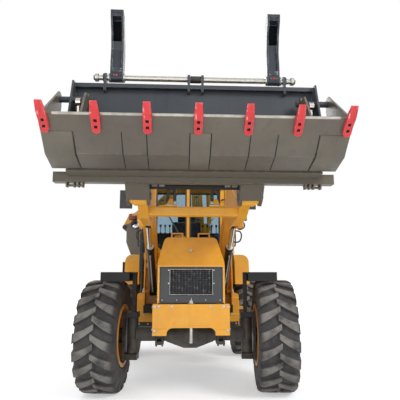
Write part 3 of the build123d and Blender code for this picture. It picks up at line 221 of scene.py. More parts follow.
def finish_of(name, colour, other, rough, metal=0.0, scale=3.0, grain=60.0, bump=0.1, coat=0.0, spread=0.4,
              worn=None, wear=0.5, dust=0.0, dust_top=0.9, edge=0.004, streaks=0.0, shine=0.5, below=None):
    """A paint, metal or plastic with uneven colour and gloss, worn edges, streaks and dust low down."""
    material = bpy.data.materials.new(name)
    tree = new_nodes(material)
    coords = add(tree, "ShaderNodeTexCoord").outputs["Object"]
    slow = noise_of(tree, coords, scale, 6.0)
    fine = noise_of(tree, coords, grain, 4.0)
    paint = mix_colour(tree, steps(tree, slow, 0.5 - spread / 2, 0.5 + spread / 2), other, colour)
    if streaks:
        along = add(tree, "ShaderNodeMapping")
        along.inputs["Scale"].default_value = (14.0, 14.0, 0.9)
        tree.links.new(coords, along.inputs["Vector"])
        drip = steps(tree, noise_of(tree, along.outputs["Vector"], 1.0), 0.52, 0.72)
        darker = tuple(0.55 * part for part in other)
        paint = mix_colour(tree, maths(tree, "MULTIPLY", drip, streaks), paint, darker)
    height = add(tree, "ShaderNodeSeparateXYZ")
    tree.links.new(coords, height.inputs[0])
    # below mixes in a second colour under a height; on the bucket's inside that colour is painted ground bounce.
    if below:
        border, painted_bounce_colour = below
        under = steps(tree, height.outputs["Z"], border + 0.02, border - 0.02)
        paint = mix_colour(tree, under, paint, painted_bounce_colour)
    rounded = tree.nodes.new("ShaderNodeBevel")
    rounded.samples = 4
    rounded.inputs["Radius"].default_value = edge
    if worn:
        flat = add(tree, "ShaderNodeNewGeometry").outputs["True Normal"]
        dot = tree.nodes.new("ShaderNodeVectorMath")
        dot.operation = "DOT_PRODUCT"
        tree.links.new(rounded.outputs["Normal"], dot.inputs[0])
        tree.links.new(flat, dot.inputs[1])
        at_edge = steps(tree, dot.outputs["Value"], 0.995, 0.93)
        broken = steps(tree, noise_of(tree, coords, 22.0), 0.62 - wear * 0.3, 0.74 - wear * 0.3)
        paint = mix_colour(tree, maths(tree, "MULTIPLY", at_edge, broken), paint, worn)
    if dust:
        low = steps(tree, height.outputs["Z"], dust_top, 0.1)
        patchy = steps(tree, noise_of(tree, coords, 9.0, 8.0), 0.32, 0.66)
        share = maths(tree, "MULTIPLY", maths(tree, "MULTIPLY", low, patchy), dust)
        paint = mix_colour(tree, share, paint, DUST)
    gloss = add(tree, "ShaderNodeMapRange")
    gloss.inputs["To Min"].default_value = max(rough - 0.12, 0.03)
    gloss.inputs["To Max"].default_value = min(rough + 0.12, 1.0)
    tree.links.new(fine, gloss.inputs["Value"])
    relief = add(tree, "ShaderNodeBump", Strength=bump, Distance=0.002)
    tree.links.new(fine, relief.inputs["Height"])
    tree.links.new(rounded.outputs["Normal"], relief.inputs["Normal"])
    bsdf = add(tree, "ShaderNodeBsdfPrincipled", Metallic=metal, Coat_Weight=coat, Coat_Roughness=0.15,
               Specular_IOR_Level=shine)
    tree.links.new(paint, bsdf.inputs["Base Color"])
    tree.links.new(gloss.outputs["Result"], bsdf.inputs["Roughness"])
    tree.links.new(relief.outputs["Normal"], bsdf.inputs["Normal"])
    out = add(tree, "ShaderNodeOutputMaterial")
    tree.links.new(bsdf.outputs[0], out.inputs[0])
    return material


STEEL = (0.42, 0.41, 0.39)
yellow = finish_of("machine yellow paint", (0.84, 0.40, 0.030), (0.76, 0.335, 0.025), 0.38, coat=0.1,
                   spread=0.3, worn=(0.88, 0.52, 0.16), wear=0.45, dust=0.35, dust_top=1.1, streaks=0.16,
                   bump=0.06, shine=0.35)
rim_yellow = finish_of("rim yellow paint", (0.76, 0.31, 0.02), (0.50, 0.21, 0.03), 0.5, scale=6.0,
                       dust=0.75, dust_top=1.3, worn=(0.25, 0.13, 0.06), wear=0.4)
black = finish_of("black chassis paint", (0.011, 0.011, 0.013), (0.022, 0.020, 0.018), 0.42, dust=0.35,
                  dust_top=1.0, worn=(0.13, 0.12, 0.11), wear=0.35, shine=0.2)
dark_blue = finish_of("fork dark paint", (0.022, 0.027, 0.036), (0.045, 0.052, 0.062), 0.4, coat=0.15,
                      worn=(0.42, 0.42, 0.40), wear=0.6, edge=0.005, shine=0.25)
# The bucket's inside is bluer than its shell: painted skylight. Its brown band below 2.10 m is painted ground
# bounce.
mould_grey_painted_skylight = finish_of("bucket inside grey painted skylight and bounce", (0.048, 0.055, 0.064), (0.066, 0.071, 0.077), 0.42, scale=1.6,
                       worn=(0.33, 0.33, 0.32), wear=0.5, streaks=0.3, shine=0.25,
                       below=(2.10, (0.115, 0.098, 0.072)))
# The shell's dark grey is tinted brown: painted ground bounce, the warm light from the ground on its lower faces.
shell_grey_painted_bounce = finish_of("bucket shell grey with painted ground bounce", (0.155, 0.135, 0.102), (0.098, 0.082, 0.064), 0.42, metal=0.15,
                       scale=1.1, bump=0.15, worn=(0.46, 0.42, 0.35), wear=0.6, streaks=0.25, edge=0.006)
red = finish_of("tooth red paint", (0.80, 0.040, 0.045), (0.62, 0.03, 0.035), 0.4, bump=0.12,
                worn=(0.75, 0.42, 0.38), wear=0.5, edge=0.005)
cast = finish_of("cast black iron", (0.016, 0.016, 0.018), (0.038, 0.034, 0.03), 0.62, bump=0.5,
                 grain=150.0, dust=0.55, dust_top=0.9, worn=(0.15, 0.14, 0.13), wear=0.4)
chrome = finish_of("rod chrome", (0.64, 0.61, 0.55), (0.50, 0.47, 0.42), 0.2, metal=1.0, bump=0.02)
zinc = finish_of("zinc plated steel", (0.55, 0.53, 0.47), (0.38, 0.37, 0.33), 0.35, metal=0.9, bump=0.1,
                 scale=30.0)
grille_grey = finish_of("grille grey paint", (0.042, 0.046, 0.054), (0.062, 0.064, 0.068), 0.4, scale=2.0,
                        worn=STEEL, wear=0.3, shine=0.3)
plastic = finish_of("black plastic", (0.018, 0.018, 0.02), (0.03, 0.03, 0.034), 0.55, bump=0.35,
                    grain=220.0)
hose_rubber = finish_of("hose rubber", (0.015, 0.015, 0.016), (0.032, 0.031, 0.03), 0.5, bump=0.2,
                        grain=400.0)
print("finishes made:", len(bpy.data.materials))


def glass_of(name, colour, low=0.02, high=0.14, ior=1.1):
    """Thin tinted glass that lets light through, still shows the sky on it and carries a little dust."""
    material = bpy.data.materials.new(name)
    tree = new_nodes(material)
    coords = add(tree, "ShaderNodeTexCoord").outputs["Object"]
    rough = add(tree, "ShaderNodeMapRange")
    rough.inputs["To Min"].default_value = low
    rough.inputs["To Max"].default_value = high
    tree.links.new(noise_of(tree, coords, 5.0, 8.0), rough.inputs["Value"])
    bsdf = add(tree, "ShaderNodeBsdfPrincipled", Base_Color=(*colour, 1.0), IOR=ior, Transmission_Weight=1.0)
    tree.links.new(rough.outputs["Result"], bsdf.inputs["Roughness"])
    out = add(tree, "ShaderNodeOutputMaterial")
    tree.links.new(bsdf.outputs[0], out.inputs[0])
    return material


window = glass_of("window glass", (0.48, 0.58, 0.64))
clear_lens = glass_of("clear lamp lens", (0.95, 0.96, 0.97), 0.08, 0.2, 1.4)
amber_lens = glass_of("amber lamp lens", (1.0, 0.30, 0.02), 0.1, 0.25, 1.4)
red_lens = glass_of("red lamp lens", (0.85, 0.03, 0.02), 0.1, 0.25, 1.4)
mirror_glass = finish_of("mirror glass", (0.82, 0.85, 0.87), (0.76, 0.79, 0.82), 0.1, metal=1.0, bump=0.0)

# %% [markdown]
# A tyre is dusty where it touches the ground: the tops of the lugs turn pale and the gaps stay black. The
# finish has to know how far a point is from the wheel's axle, so a Mapping node first moves the pattern to
# the wheel's middle and turns it with the steered axle, and the length of the other two coordinates is that
# distance.


# %% Tyre rubber
def rubber_of(name, centre, steer):
    """Rubber whose lug tops, far from the wheel's axle, carry pale dust, and whose walls are muddy."""
    material = bpy.data.materials.new(name)
    tree = new_nodes(material)
    coords = add(tree, "ShaderNodeTexCoord").outputs["Object"]
    place = tree.nodes.new("ShaderNodeMapping")
    place.vector_type = "TEXTURE"
    place.inputs["Location"].default_value = centre
    place.inputs["Rotation"].default_value = (0.0, 0.0, steer)
    tree.links.new(coords, place.inputs["Vector"])
    across = tree.nodes.new("ShaderNodeVectorMath")
    across.operation = "MULTIPLY"
    across.inputs[1].default_value = (0.0, 1.0, 1.0)
    tree.links.new(place.outputs["Vector"], across.inputs[0])
    length = tree.nodes.new("ShaderNodeVectorMath")
    length.operation = "LENGTH"
    tree.links.new(across.outputs["Vector"], length.inputs[0])
    radius = length.outputs["Value"]
    slow = noise_of(tree, coords, 7.0, 8.0)
    fine = noise_of(tree, coords, 70.0)
    rubber = mix_colour(tree, steps(tree, slow, 0.35, 0.65), (0.022, 0.021, 0.022), (0.048, 0.046, 0.046))
    scuffed = maths(tree, "MULTIPLY", steps(tree, radius, 0.572, 0.592), steps(tree, slow, 0.30, 0.58))
    paint = mix_colour(tree, maths(tree, "MULTIPLY", scuffed, 0.5), rubber, (0.36, 0.335, 0.30))
    muddy = maths(tree, "MULTIPLY", steps(tree, noise_of(tree, coords, 11.0, 9.0), 0.45, 0.7), 0.35)
    paint = mix_colour(tree, muddy, paint, (0.13, 0.11, 0.09))
    relief = add(tree, "ShaderNodeBump", Strength=0.45, Distance=0.003)
    tree.links.new(fine, relief.inputs["Height"])
    rounded = tree.nodes.new("ShaderNodeBevel")
    rounded.samples = 4
    rounded.inputs["Radius"].default_value = 0.006
    tree.links.new(rounded.outputs["Normal"], relief.inputs["Normal"])
    bsdf = add(tree, "ShaderNodeBsdfPrincipled", Roughness=0.78)
    tree.links.new(paint, bsdf.inputs["Base Color"])
    tree.links.new(relief.outputs["Normal"], bsdf.inputs["Normal"])
    out = add(tree, "ShaderNodeOutputMaterial")
    tree.links.new(bsdf.outputs[0], out.inputs[0])
    return material


STEER_REST = -math.radians(5.0)
wheels = {}
for joint in frame["joints"]:
    if joint["name"].startswith("wheel_"):
        label = joint["name"][len("wheel_"):]
        steer = STEER_REST if label.startswith("front") else 0.0
        tyre_paint = rubber_of("tyre rubber " + label, joint["pos_m"], steer)
        wheels[label] = (Vector(joint["pos_m"]), steer, tyre_paint)
print("wheels:", sorted(wheels))

# %% [markdown]
# The record names a finish for each solid. A few are set apart here, because the photo shows the cab's
# posts and the tanks in the machine's yellow, the grille grey and the forks nearly black. The inside of
# the bucket gets a bluer grey than its brown shell: painted skylight against painted ground bounce.
# %% Finishes on the frame's solids
finish_by_slot = {
    "yellow_paint": yellow,
    "black_paint": black,
    "dark_grey_paint": shell_grey_painted_bounce,
    "red_paint": red,
    "rim_paint": rim_yellow,
    "cast_black": cast,
    "chrome": chrome,
    "tyre_rubber": hose_rubber,
    "window": window,
    "seat_plastic": plastic,
}
own_finish = {
    "cab_pillars": yellow,
    "door_left": yellow,
    "mirrors": plastic,
    "work_lamps": plastic,
    "side_tanks": yellow,
    "grille": grille_grey,
    "bucket_back": mould_grey_painted_skylight,
    "fork_arm_left": dark_blue,
    "fork_arm_right": dark_blue,
    "fork_shaft": zinc,
}
slot_of_node = {row["node"]: row["material_slot"] for row in frame["record"]["subparts"]}
for name, piece in nodes.items():
    piece.data.materials.clear()
    piece.data.materials.append(own_finish.get(name, finish_by_slot[slot_of_node[name]]))

# %% [markdown]
# The pieces that follow are small meshes built with bmesh operators. Their places are written in
# millimetres from the middle of the front axle on the ground, as a fitter would measure them, and one
# function turns that into the frame. A cone with as many sides at both ends is a round bar, with six sides
# it is a nut, and a bevel takes off its rims.


# %% Tools for building pieces
def here(x, y, z):
    """A point in the frame, in millimetres from the middle of the front axle on the ground."""
    return Vector((mid_x + x / 1000, axle_y + y / 1000, z / 1000))


ACROSS = Vector((1, 0, 0))
BACK = Vector((0, 1, 0))
UP = Vector((0, 0, 1))
SLEW_X = 450.0
SLEW_Y = 3450.0


def swung(x, y, z):
    """A point of the backhoe, measured straight back from its slew pin, in the folded rest position."""
    return here(SLEW_X - y, SLEW_Y + x, z)


def side_view(x, outline):
    """An outline in side view, from pairs of y and z, placed at x."""
    return [here(x, y, z) for y, z in outline]


def front_view(y, outline, side=1):
    """An outline seen from the front, from pairs of x and z, placed at y; side -1 mirrors it."""
    return [here(side * x, y, z) for x, z in outline]


def plan_view(z, outline, side=1):
    """An outline seen from above, from pairs of x and y, placed at z; side -1 mirrors it."""
    return [here(side * x, y, z) for x, y in outline]


def oblong(low, high, base, top):
    """The four corners of an oblong, as pairs for one of the views."""
    return (low, base), (high, base), (high, top), (low, top)


def soften(bm, verts, width, least=0.6):
    """Bevels the sharp edges that meet at these vertices."""
    bm.normal_update()
    edges = dict.fromkeys(edge for vert in verts for edge in vert.link_edges)
    sharp = [edge for edge in edges if edge.calc_face_angle(0.0) > least]
    bmesh.ops.bevel(bm, geom=sharp, offset=width, segments=2, affect="EDGES", profile=0.5, material=-1)


def bar(bm, start, end, radius, sides=20, edge=0.0, tip=None):
    """A round bar between two points, given in metres; edge bevels its rims."""
    run = end - start
    spot = Matrix.Translation((start + end) / 2) @ run.to_track_quat("Z", "Y").to_matrix().to_4x4()
    new = bmesh.ops.create_cone(bm, cap_ends=True, segments=sides, radius1=radius,
                                radius2=radius if tip is None else tip, depth=run.length, matrix=spot)
    if edge:
        soften(bm, new["verts"], edge, 1.2 if sides > 6 else 0.9)


def slab(bm, corner, other, edge=0.0):
    """A block between two opposite corners, its edges bevelled."""
    size = Vector([abs(a - b) for a, b in zip(corner, other)])
    spot = Matrix.Translation((corner + other) / 2) @ Matrix.Diagonal((*size, 1.0))
    new = bmesh.ops.create_cube(bm, size=1.0, matrix=spot)
    if edge:
        soften(bm, new["verts"], edge)


def sheet_of(bm, points, push, edge=0.0):
    """A plate: a closed outline filled and pushed out by a vector."""
    face = bm.faces.new([bm.verts.new(point) for point in points])
    grown = bmesh.ops.extrude_face_region(bm, geom=[face])
    moved = [part for part in grown["geom"] if isinstance(part, bmesh.types.BMVert)]
    bmesh.ops.translate(bm, verts=moved, vec=push)
    if edge:
        soften(bm, moved + list(face.verts), edge)


def rim_of(bm, points, width, push):
    """A flat frame: an outline filled, inset by a width, emptied inside and pushed out by a vector."""
    face = bm.faces.new([bm.verts.new(point) for point in points])
    face.normal_update()
    inset = bmesh.ops.inset_region(bm, faces=[face], thickness=width, use_boundary=True, use_even_offset=True)
    ring = inset["faces"]
    bmesh.ops.delete(bm, geom=[face], context="FACES_ONLY")
    grown = bmesh.ops.extrude_face_region(bm, geom=ring)
    moved = [part for part in grown["geom"] if isinstance(part, bmesh.types.BMVert)]
    bmesh.ops.translate(bm, verts=moved, vec=push)


def hoop(bm, centre, axis, radius, thick, steps_round=40):
    """A round ring: a small circle spun once about an axis."""
    side = axis.orthogonal().normalized()
    turn = axis.cross(side).to_track_quat("Z", "Y").to_matrix().to_4x4()
    spot = Matrix.Translation(centre + side * radius) @ turn
    circle = bmesh.ops.create_circle(bm, radius=thick, segments=8, matrix=spot)["verts"]
    edges = dict.fromkeys(edge for vert in circle for edge in vert.link_edges)
    bmesh.ops.spin(bm, geom=circle + list(edges), cent=centre, axis=axis, angle=math.tau,
                   steps=steps_round, use_merge=True)


def dome(bm, centre, out_way, radius, height):
    """A shallow round lens: half a sphere flattened along the way it looks."""
    turn = out_way.to_track_quat("Z", "Y").to_matrix().to_4x4()
    spot = Matrix.Translation(centre) @ turn @ Matrix.Diagonal((radius, radius, height, 1.0))
    ball = bmesh.ops.create_uvsphere(bm, u_segments=24, v_segments=12, radius=1.0, matrix=spot)["verts"]
    parts = dict.fromkeys(part for vert in ball for part in (vert, *vert.link_edges, *vert.link_faces))
    cut = bmesh.ops.bisect_plane(bm, geom=list(parts), plane_co=centre, plane_no=-out_way,
                                 clear_outer=True)
    bmesh.ops.holes_fill(bm, edges=[part for part in cut["geom_cut"] if isinstance(part, bmesh.types.BMEdge)])


def made(bm, name, body, *paints, angle=35.0):
    """Turns the bmesh into a piece that rides on a body, with smooth faces and sharp creases."""
    bmesh.ops.recalc_face_normals(bm, faces=bm.faces[:])
    mesh = bpy.data.meshes.new(name)
    bm.to_mesh(mesh)
    bm.free()
    for polygon in mesh.polygons:
        polygon.use_smooth = True
    mesh.set_sharp_from_angle(angle=math.radians(angle))
    piece = bpy.data.objects.new(name, mesh)
    scene.collection.objects.link(piece)
    for paint in paints:
        mesh.materials.append(paint)
    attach(piece, body)
    return piece


def pipes(name, body, runs, radius, paint, straight=False):
    """Bent pipes or hoses: a smooth or straight line along each row of points, given a round section."""
    line_data = bpy.data.curves.new(name, "CURVE")
    line_data.dimensions = "3D"
    line_data.bevel_depth = radius
    line_data.bevel_resolution = 3
    line_data.use_fill_caps = True
    for points in runs:
        line = line_data.splines.new("POLY" if straight else "NURBS")
        line.points.add(len(points) - 1)
        for knot, point in zip(line.points, points):
            knot.co = (*point, 1.0)
        line.order_u = 3
        line.use_endpoint_u = True
        line.resolution_u = 6
    line_data.materials.append(paint)
    piece = bpy.data.objects.new(name, line_data)
    scene.collection.objects.link(piece)
    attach(piece, body)
    return piece


# %% [markdown]
# An industrial tyre has a rounded carcass with ribs on its walls, and two rows of thick slanting lugs that
# meet at the middle and run down over the shoulders. The carcass is a profile spun round the axle. One lug
# starts as a cube: it is cut across, its edges are bevelled, and its points are moved to the tread's curve.
# Turned copies of it, and of its mirror image half a step on, make the tread.
# %% Tyres
LUGS = 20
TYRE_STEPS = 96
TREAD_R = 0.595
CARCASS_R = 0.548
LEAN_R = 0.585
TREAD_HALF = 0.2035
PAST_MIDDLE = 0.014
SHOULDER_AT = 0.72
WALL_PROFILE = [(0.176, 0.308), (0.186, 0.328), (0.194, 0.346), (0.201, 0.352), (0.201, 0.364),
                (0.197, 0.370), (0.202, 0.400), (0.2045, 0.404), (0.2045, 0.412), (0.203, 0.416),
                (0.2045, 0.450), (0.202, 0.484), (0.196, 0.512), (0.184, 0.537), (0.164, 0.553),
                (0.10, 0.561), (0.0, 0.564)]
profile = WALL_PROFILE + [(-x, r) for x, r in reversed(WALL_PROFILE[:-1])]


def place_on_tread(u, v, w, side):
    """Where a point of a lug goes: u along it, v across it, w up it, each from its own 0 to 1."""
    lean = 0.056 - 0.112 * u - 0.012 * math.sin(math.pi * u)
    width = (0.064 + 0.046 * u) * (1.0 - 0.12 * w)
    over = max(0.0, (u - SHOULDER_AT) / (1.0 - SHOULDER_AT))
    top = TREAD_R - 0.002 - 0.020 * over ** 2
    foot = CARCASS_R - 0.052 * over ** 1.5
    radius = foot + (top - foot) * w
    angle = (lean + (v - 0.5) * width) / LEAN_R
    across = -PAST_MIDDLE + (TREAD_HALF - 0.008 * w * over + PAST_MIDDLE) * u
    return Vector((side * across, radius * math.sin(angle), radius * math.cos(angle)))


def tread_of_side(side, phase):
    """One side's lugs as a mesh of its own, so that copies are turned and nothing else is."""
    bm = bmesh.new()
    bmesh.ops.create_cube(bm, size=1.0, matrix=Matrix.Translation((0.5, 0.5, 0.5)))
    long_edges = [edge for edge in bm.edges if abs(edge.verts[0].co.x - edge.verts[1].co.x) > 0.5]
    bmesh.ops.subdivide_edges(bm, edges=long_edges, cuts=6, use_grid_fill=True)
    for vert in bm.verts:
        vert.co = place_on_tread(vert.co.x, vert.co.y, vert.co.z, side)
    bmesh.ops.recalc_face_normals(bm, faces=bm.faces[:])
    high = [edge for edge in bm.edges if edge.calc_face_angle(0.0) > 0.7
            and min(math.hypot(vert.co.y, vert.co.z) for vert in edge.verts) > 0.555]
    bmesh.ops.bevel(bm, geom=high, offset=0.004, segments=2, affect="EDGES", profile=0.5, material=-1)
    bmesh.ops.rotate(bm, verts=bm.verts[:], cent=(0, 0, 0), matrix=Matrix.Rotation(phase, 3, "X"))
    lug = bm.verts[:] + bm.edges[:] + bm.faces[:]
    for place in range(1, LUGS):
        copy = bmesh.ops.duplicate(bm, geom=lug)
        fresh = [part for part in copy["geom"] if isinstance(part, bmesh.types.BMVert)]
        turned = Matrix.Rotation(place * math.tau / LUGS, 3, "X")
        bmesh.ops.rotate(bm, verts=fresh, cent=(0, 0, 0), matrix=turned)
    mesh = bpy.data.meshes.new("tread side")
    bm.to_mesh(mesh)
    bm.free()
    return mesh


treads = [tread_of_side(1, 0.0), tread_of_side(-1, math.pi / LUGS)]
for label, (centre, steer, rubber) in wheels.items():
    bm = bmesh.new()
    ring = [bm.verts.new((x, 0.0, r)) for x, r in profile]
    line = [bm.edges.new((a, b)) for a, b in zip(ring, ring[1:] + ring[:1])]
    bmesh.ops.spin(bm, geom=ring + line, cent=(0, 0, 0), axis=(1, 0, 0), angle=math.tau,
                   steps=TYRE_STEPS, use_merge=True)
    for tread in treads:
        bm.from_mesh(tread)
    place = Matrix.Translation(centre) @ Matrix.Rotation(steer, 4, "Z")
    bmesh.ops.transform(bm, matrix=place, verts=bm.verts[:])
    tyre = made(bm, "tyre_" + label + "_tread", "wheel_" + label, rubber)
    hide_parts("tyre_" + label)
print("tyre has", len(tyre.data.polygons), "faces")

# %% [markdown]
# A wheel is held by a ring of nuts on its disc, and the hub's planetary gear hides under a cap with its own
# screws and a drain plug. A split ring on the rim keeps the tyre on. All of it is set out on the wheel's
# own axle and then moved and turned with the wheel.
# %% Wheel nuts, hub caps and rim rings
NUTS = 10
NUT_CIRCLE = 0.215
CAP_CIRCLE = 0.112
NUT_STACK = [(NUT_CIRCLE, 0.054, 0.060, 0.026, 20), (NUT_CIRCLE, 0.060, 0.080, 0.020, 6),
             (NUT_CIRCLE, 0.080, 0.090, 0.010, 12), (CAP_CIRCLE, 0.150, 0.158, 0.009, 6)]
for label, (centre, steer, rubber) in wheels.items():
    out_side = 1 if centre.x > mid_x else -1
    bm = bmesh.new()
    for index in range(NUTS):
        angle = math.tau * index / NUTS
        spot = Vector((0, math.sin(angle), math.cos(angle)))
        for radius, start, end, size, sides in NUT_STACK:
            inner = spot * radius + Vector((start * out_side, 0, 0))
            outer = spot * radius + Vector((end * out_side, 0, 0))
            bar(bm, inner, outer, size, sides, 0.0015)
    bar(bm, Vector((0.150 * out_side, 0, 0)), Vector((0.162 * out_side, 0, 0)), 0.088, 32, 0.004)
    bar(bm, Vector((0.160 * out_side, 0, 0)), Vector((0.170 * out_side, 0, 0)), 0.016, 6, 0.002)
    place = Matrix.Translation(centre) @ Matrix.Rotation(steer, 4, "Z")
    bmesh.ops.transform(bm, matrix=place, verts=bm.verts[:])
    made(bm, "wheel_nuts_" + label, "wheel_" + label, cast)
    bm = bmesh.new()
    for radius, across in ((0.326, 0.196), (0.300, 0.190), (0.142, 0.148)):
        hoop(bm, Vector((across * out_side, 0, 0)), ACROSS, radius, 0.006)
    bar(bm, Vector((0.10 * out_side, 0.0, -0.286)), Vector((0.15 * out_side, 0.0, -0.27)), 0.008, 12, 0.002)
    bmesh.ops.transform(bm, matrix=place, verts=bm.verts[:])
    made(bm, "rim_rings_" + label, "wheel_" + label, rim_yellow)
print("wheels dressed")

# %% [markdown]
# The bucket's seven teeth are bolted under its cutting edge: a flat shank with a round foot and two square
# bolt holes, and a tip that thins towards its edge. Each starts as an outline that is filled and pushed
# out. Planes cut the shank round the holes, and the little squares between them are pushed back in. Towards
# the ends the teeth lean out.
# %% Teeth
LIP = (-2000.0, 2380.0)
BEND = (-1760.0, 2150.0)
SEAM = (-1552.0, 2085.0)
along = (here(0, *LIP) - here(0, *BEND)).normalized()
down = Vector((0.0, -along.z, along.y))
TOOTH_HALF = 0.031
HOLE_HALF = 0.0125
HOLES = (-0.092, -0.042)
HOLE_DEEP = 0.012
TEETH = 7
END_TOOTH_X = 1110.0
FOOT_BACK = -0.112
turns = [math.pi * k / 8 for k in range(9)]
foot = [(-TOOTH_HALF * math.cos(turn), FOOT_BACK - TOOTH_HALF * math.sin(turn)) for turn in turns]
plan = foot + [(TOOTH_HALF, 0.02), (0.026, 0.100), (-0.026, 0.100), (-TOOTH_HALF, 0.02)]
bm = bmesh.new()
for index in range(TEETH):
    share = 2 * index / (TEETH - 1) - 1
    tooth = bmesh.new()
    sheet_of(tooth, [Vector((x, y, 0.002)) for x, y in plan], Vector((0, 0, 0.029)))
    cuts = [((0, spot + way * HOLE_HALF, 0), (0, 1, 0)) for spot in HOLES for way in (-1, 1)]
    cuts += [((way * HOLE_HALF, 0, 0), (1, 0, 0)) for way in (-1, 1)]
    for spot, normal in cuts:
        everything = tooth.verts[:] + tooth.edges[:] + tooth.faces[:]
        bmesh.ops.bisect_plane(tooth, geom=everything, plane_co=spot, plane_no=normal)
    tooth.normal_update()
    middles = [(face, face.calc_center_median()) for face in tooth.faces]
    holes = [face for face, middle in middles if middle.z > 0.03 and abs(middle.x) < 0.003
             and min(abs(middle.y - spot) for spot in HOLES) < 0.004]
    sunk = bmesh.ops.extrude_discrete_faces(tooth, faces=holes)["faces"]
    rims = list(dict.fromkeys(vert for face in sunk for vert in face.verts))
    bmesh.ops.translate(tooth, verts=rims, vec=(0, 0, -HOLE_DEEP))
    for face in sunk:
        face.material_index = 1
    for vert in tooth.verts:
        if vert.co.y > 0.03:
            vert.co.z *= 1.0 - 0.75 * (vert.co.y - 0.03) / 0.07
    slab(tooth, Vector((-0.024, 0.004, -0.018)), Vector((0.024, 0.055, 0.002)), 0.003)
    for vert in tooth.verts:
        vert.co.x += 0.10 * share ** 3 * max(vert.co.y + 0.05, 0.0)
    place = Matrix((ACROSS, along, down)).transposed().to_4x4()
    place.translation = here(share * END_TOOTH_X, *LIP)
    bmesh.ops.transform(tooth, matrix=place, verts=tooth.verts[:])
    holder = bpy.data.meshes.new("tooth")
    tooth.to_mesh(holder)
    tooth.free()
    bm.from_mesh(holder)
teeth = made(bm, "bolted_teeth", "clam", red, black)
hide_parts("bucket_teeth")
print("teeth:", len(teeth.data.polygons), "faces")

# %% [markdown]
# The bucket's shell is bent from sheet and welded. Its cutting edge is worn to bare metal, wear plates
# double the ends and a strip near the middle, lugs hang under the heel beam, and beads of weld run down the
# joints. The plates follow the shell's two faces, so each is an outline in side view pushed sideways, and
# each bead is a thin pipe along the same corners.
# %% Bucket shell details
# The wear plates share the shell's brown tint of painted ground bounce.
plate_grey_painted_bounce = finish_of("bucket wear plate grey with painted ground bounce", (0.165, 0.145, 0.11), (0.11, 0.093, 0.072), 0.45,
                       metal=0.15, scale=2.0, bump=0.2, streaks=0.2)
worn_steel = finish_of("worn edge steel", (0.60, 0.57, 0.50), (0.30, 0.27, 0.23), 0.35, metal=0.7,
                       scale=9.0, bump=0.2)
EDGE_SECTION = ((-0.010, 0.0035), (0.004, 0.0035), (0.004, -0.018), (-0.010, -0.018))
BETWEEN_TEETH = ((-1148, -1090), (-1048, -770), (-708, -400), (-338, -32),
                 (32, 338), (400, 708), (770, 1048), (1090, 1148))
bm = bmesh.new()
for start, end in BETWEEN_TEETH:
    corners = [here(start, *LIP) + along * a + down * d for a, d in EDGE_SECTION]
    sheet_of(bm, corners, Vector(((end - start) / 1000, 0, 0)), 0.002)
made(bm, "worn_cutting_edge", "clam", worn_steel)


def on_shell(x, out_mm):
    """The shell's corners at x, pushed out by millimetres: below the lip, at the bend and at the seam."""
    lip_down = here(x, *LIP) - along * 0.142 + down * out_mm / 1000
    bend = here(x, *BEND) + Vector((0, -0.0036 - 0.5 * out_mm / 1000, -0.87 * out_mm / 1000))
    heel = here(x, SEAM[0] - 16, SEAM[1] + 6) + Vector((0, -0.298, -0.954)) * out_mm / 1000
    return lip_down, bend, heel


bm = bmesh.new()
for start, end in ((-1149, -925), (925, 1149), (-55, 96)):
    ring = [*on_shell(start, 0.5), *reversed(on_shell(start, 7.0))]
    sheet_of(bm, ring, Vector(((end - start) / 1000, 0, 0)), 0.002)
made(bm, "wear_plates", "clam", plate_grey_painted_bounce)
BEAM_LUG = ((-1462, 1999), (-1378, 1999), (-1388, 1962), (-1440, 1956))
bm = bmesh.new()
for side in (-1, 1):
    for x in (925, 960, 995, 1055):
        sheet_of(bm, side_view(side * x, BEAM_LUG), Vector((side * 0.012, 0, 0)), 0.002)
    bar(bm, here(side * 930, -1415, 1976), here(side * 1062, -1415, 1976), 0.011, 16, 0.002)
made(bm, "beam_lugs", "bucket", plate_grey_painted_bounce)
WELDS_AT = (-918, -565, -380, -60, 101, 396, 604, 918)
pipes("shell_welds", "clam", [on_shell(x, 1.0) for x in WELDS_AT], 0.004, black, straight=True)
print("bucket shell: plates, lugs and", len(WELDS_AT), "welds")

# %% [markdown]
# The clam turns on a pin at each end of the bucket. A broad cap with a nut covers the pin, and three bolts in a
# slanting row hold the end plate.
# %% Clam pin caps
PIN_Y = -1500
PIN_Z = 2690
bm = bmesh.new()
for side in (-1, 1):
    bar(bm, here(side * 1149, PIN_Y, PIN_Z), here(side * 1160, PIN_Y, PIN_Z), 0.044, 28, 0.004)
    bar(bm, here(side * 1158, PIN_Y, PIN_Z), here(side * 1168, PIN_Y, PIN_Z), 0.016, 6, 0.002)
    for y, z in ((-1560, 2570), (-1700, 2440), (-1840, 2330)):
        bar(bm, here(side * 1149, y, z), here(side * 1156, y, z), 0.012, 6, 0.0015)
made(bm, "clam_pin_caps", "clam", cast)
print("clam pin caps made")

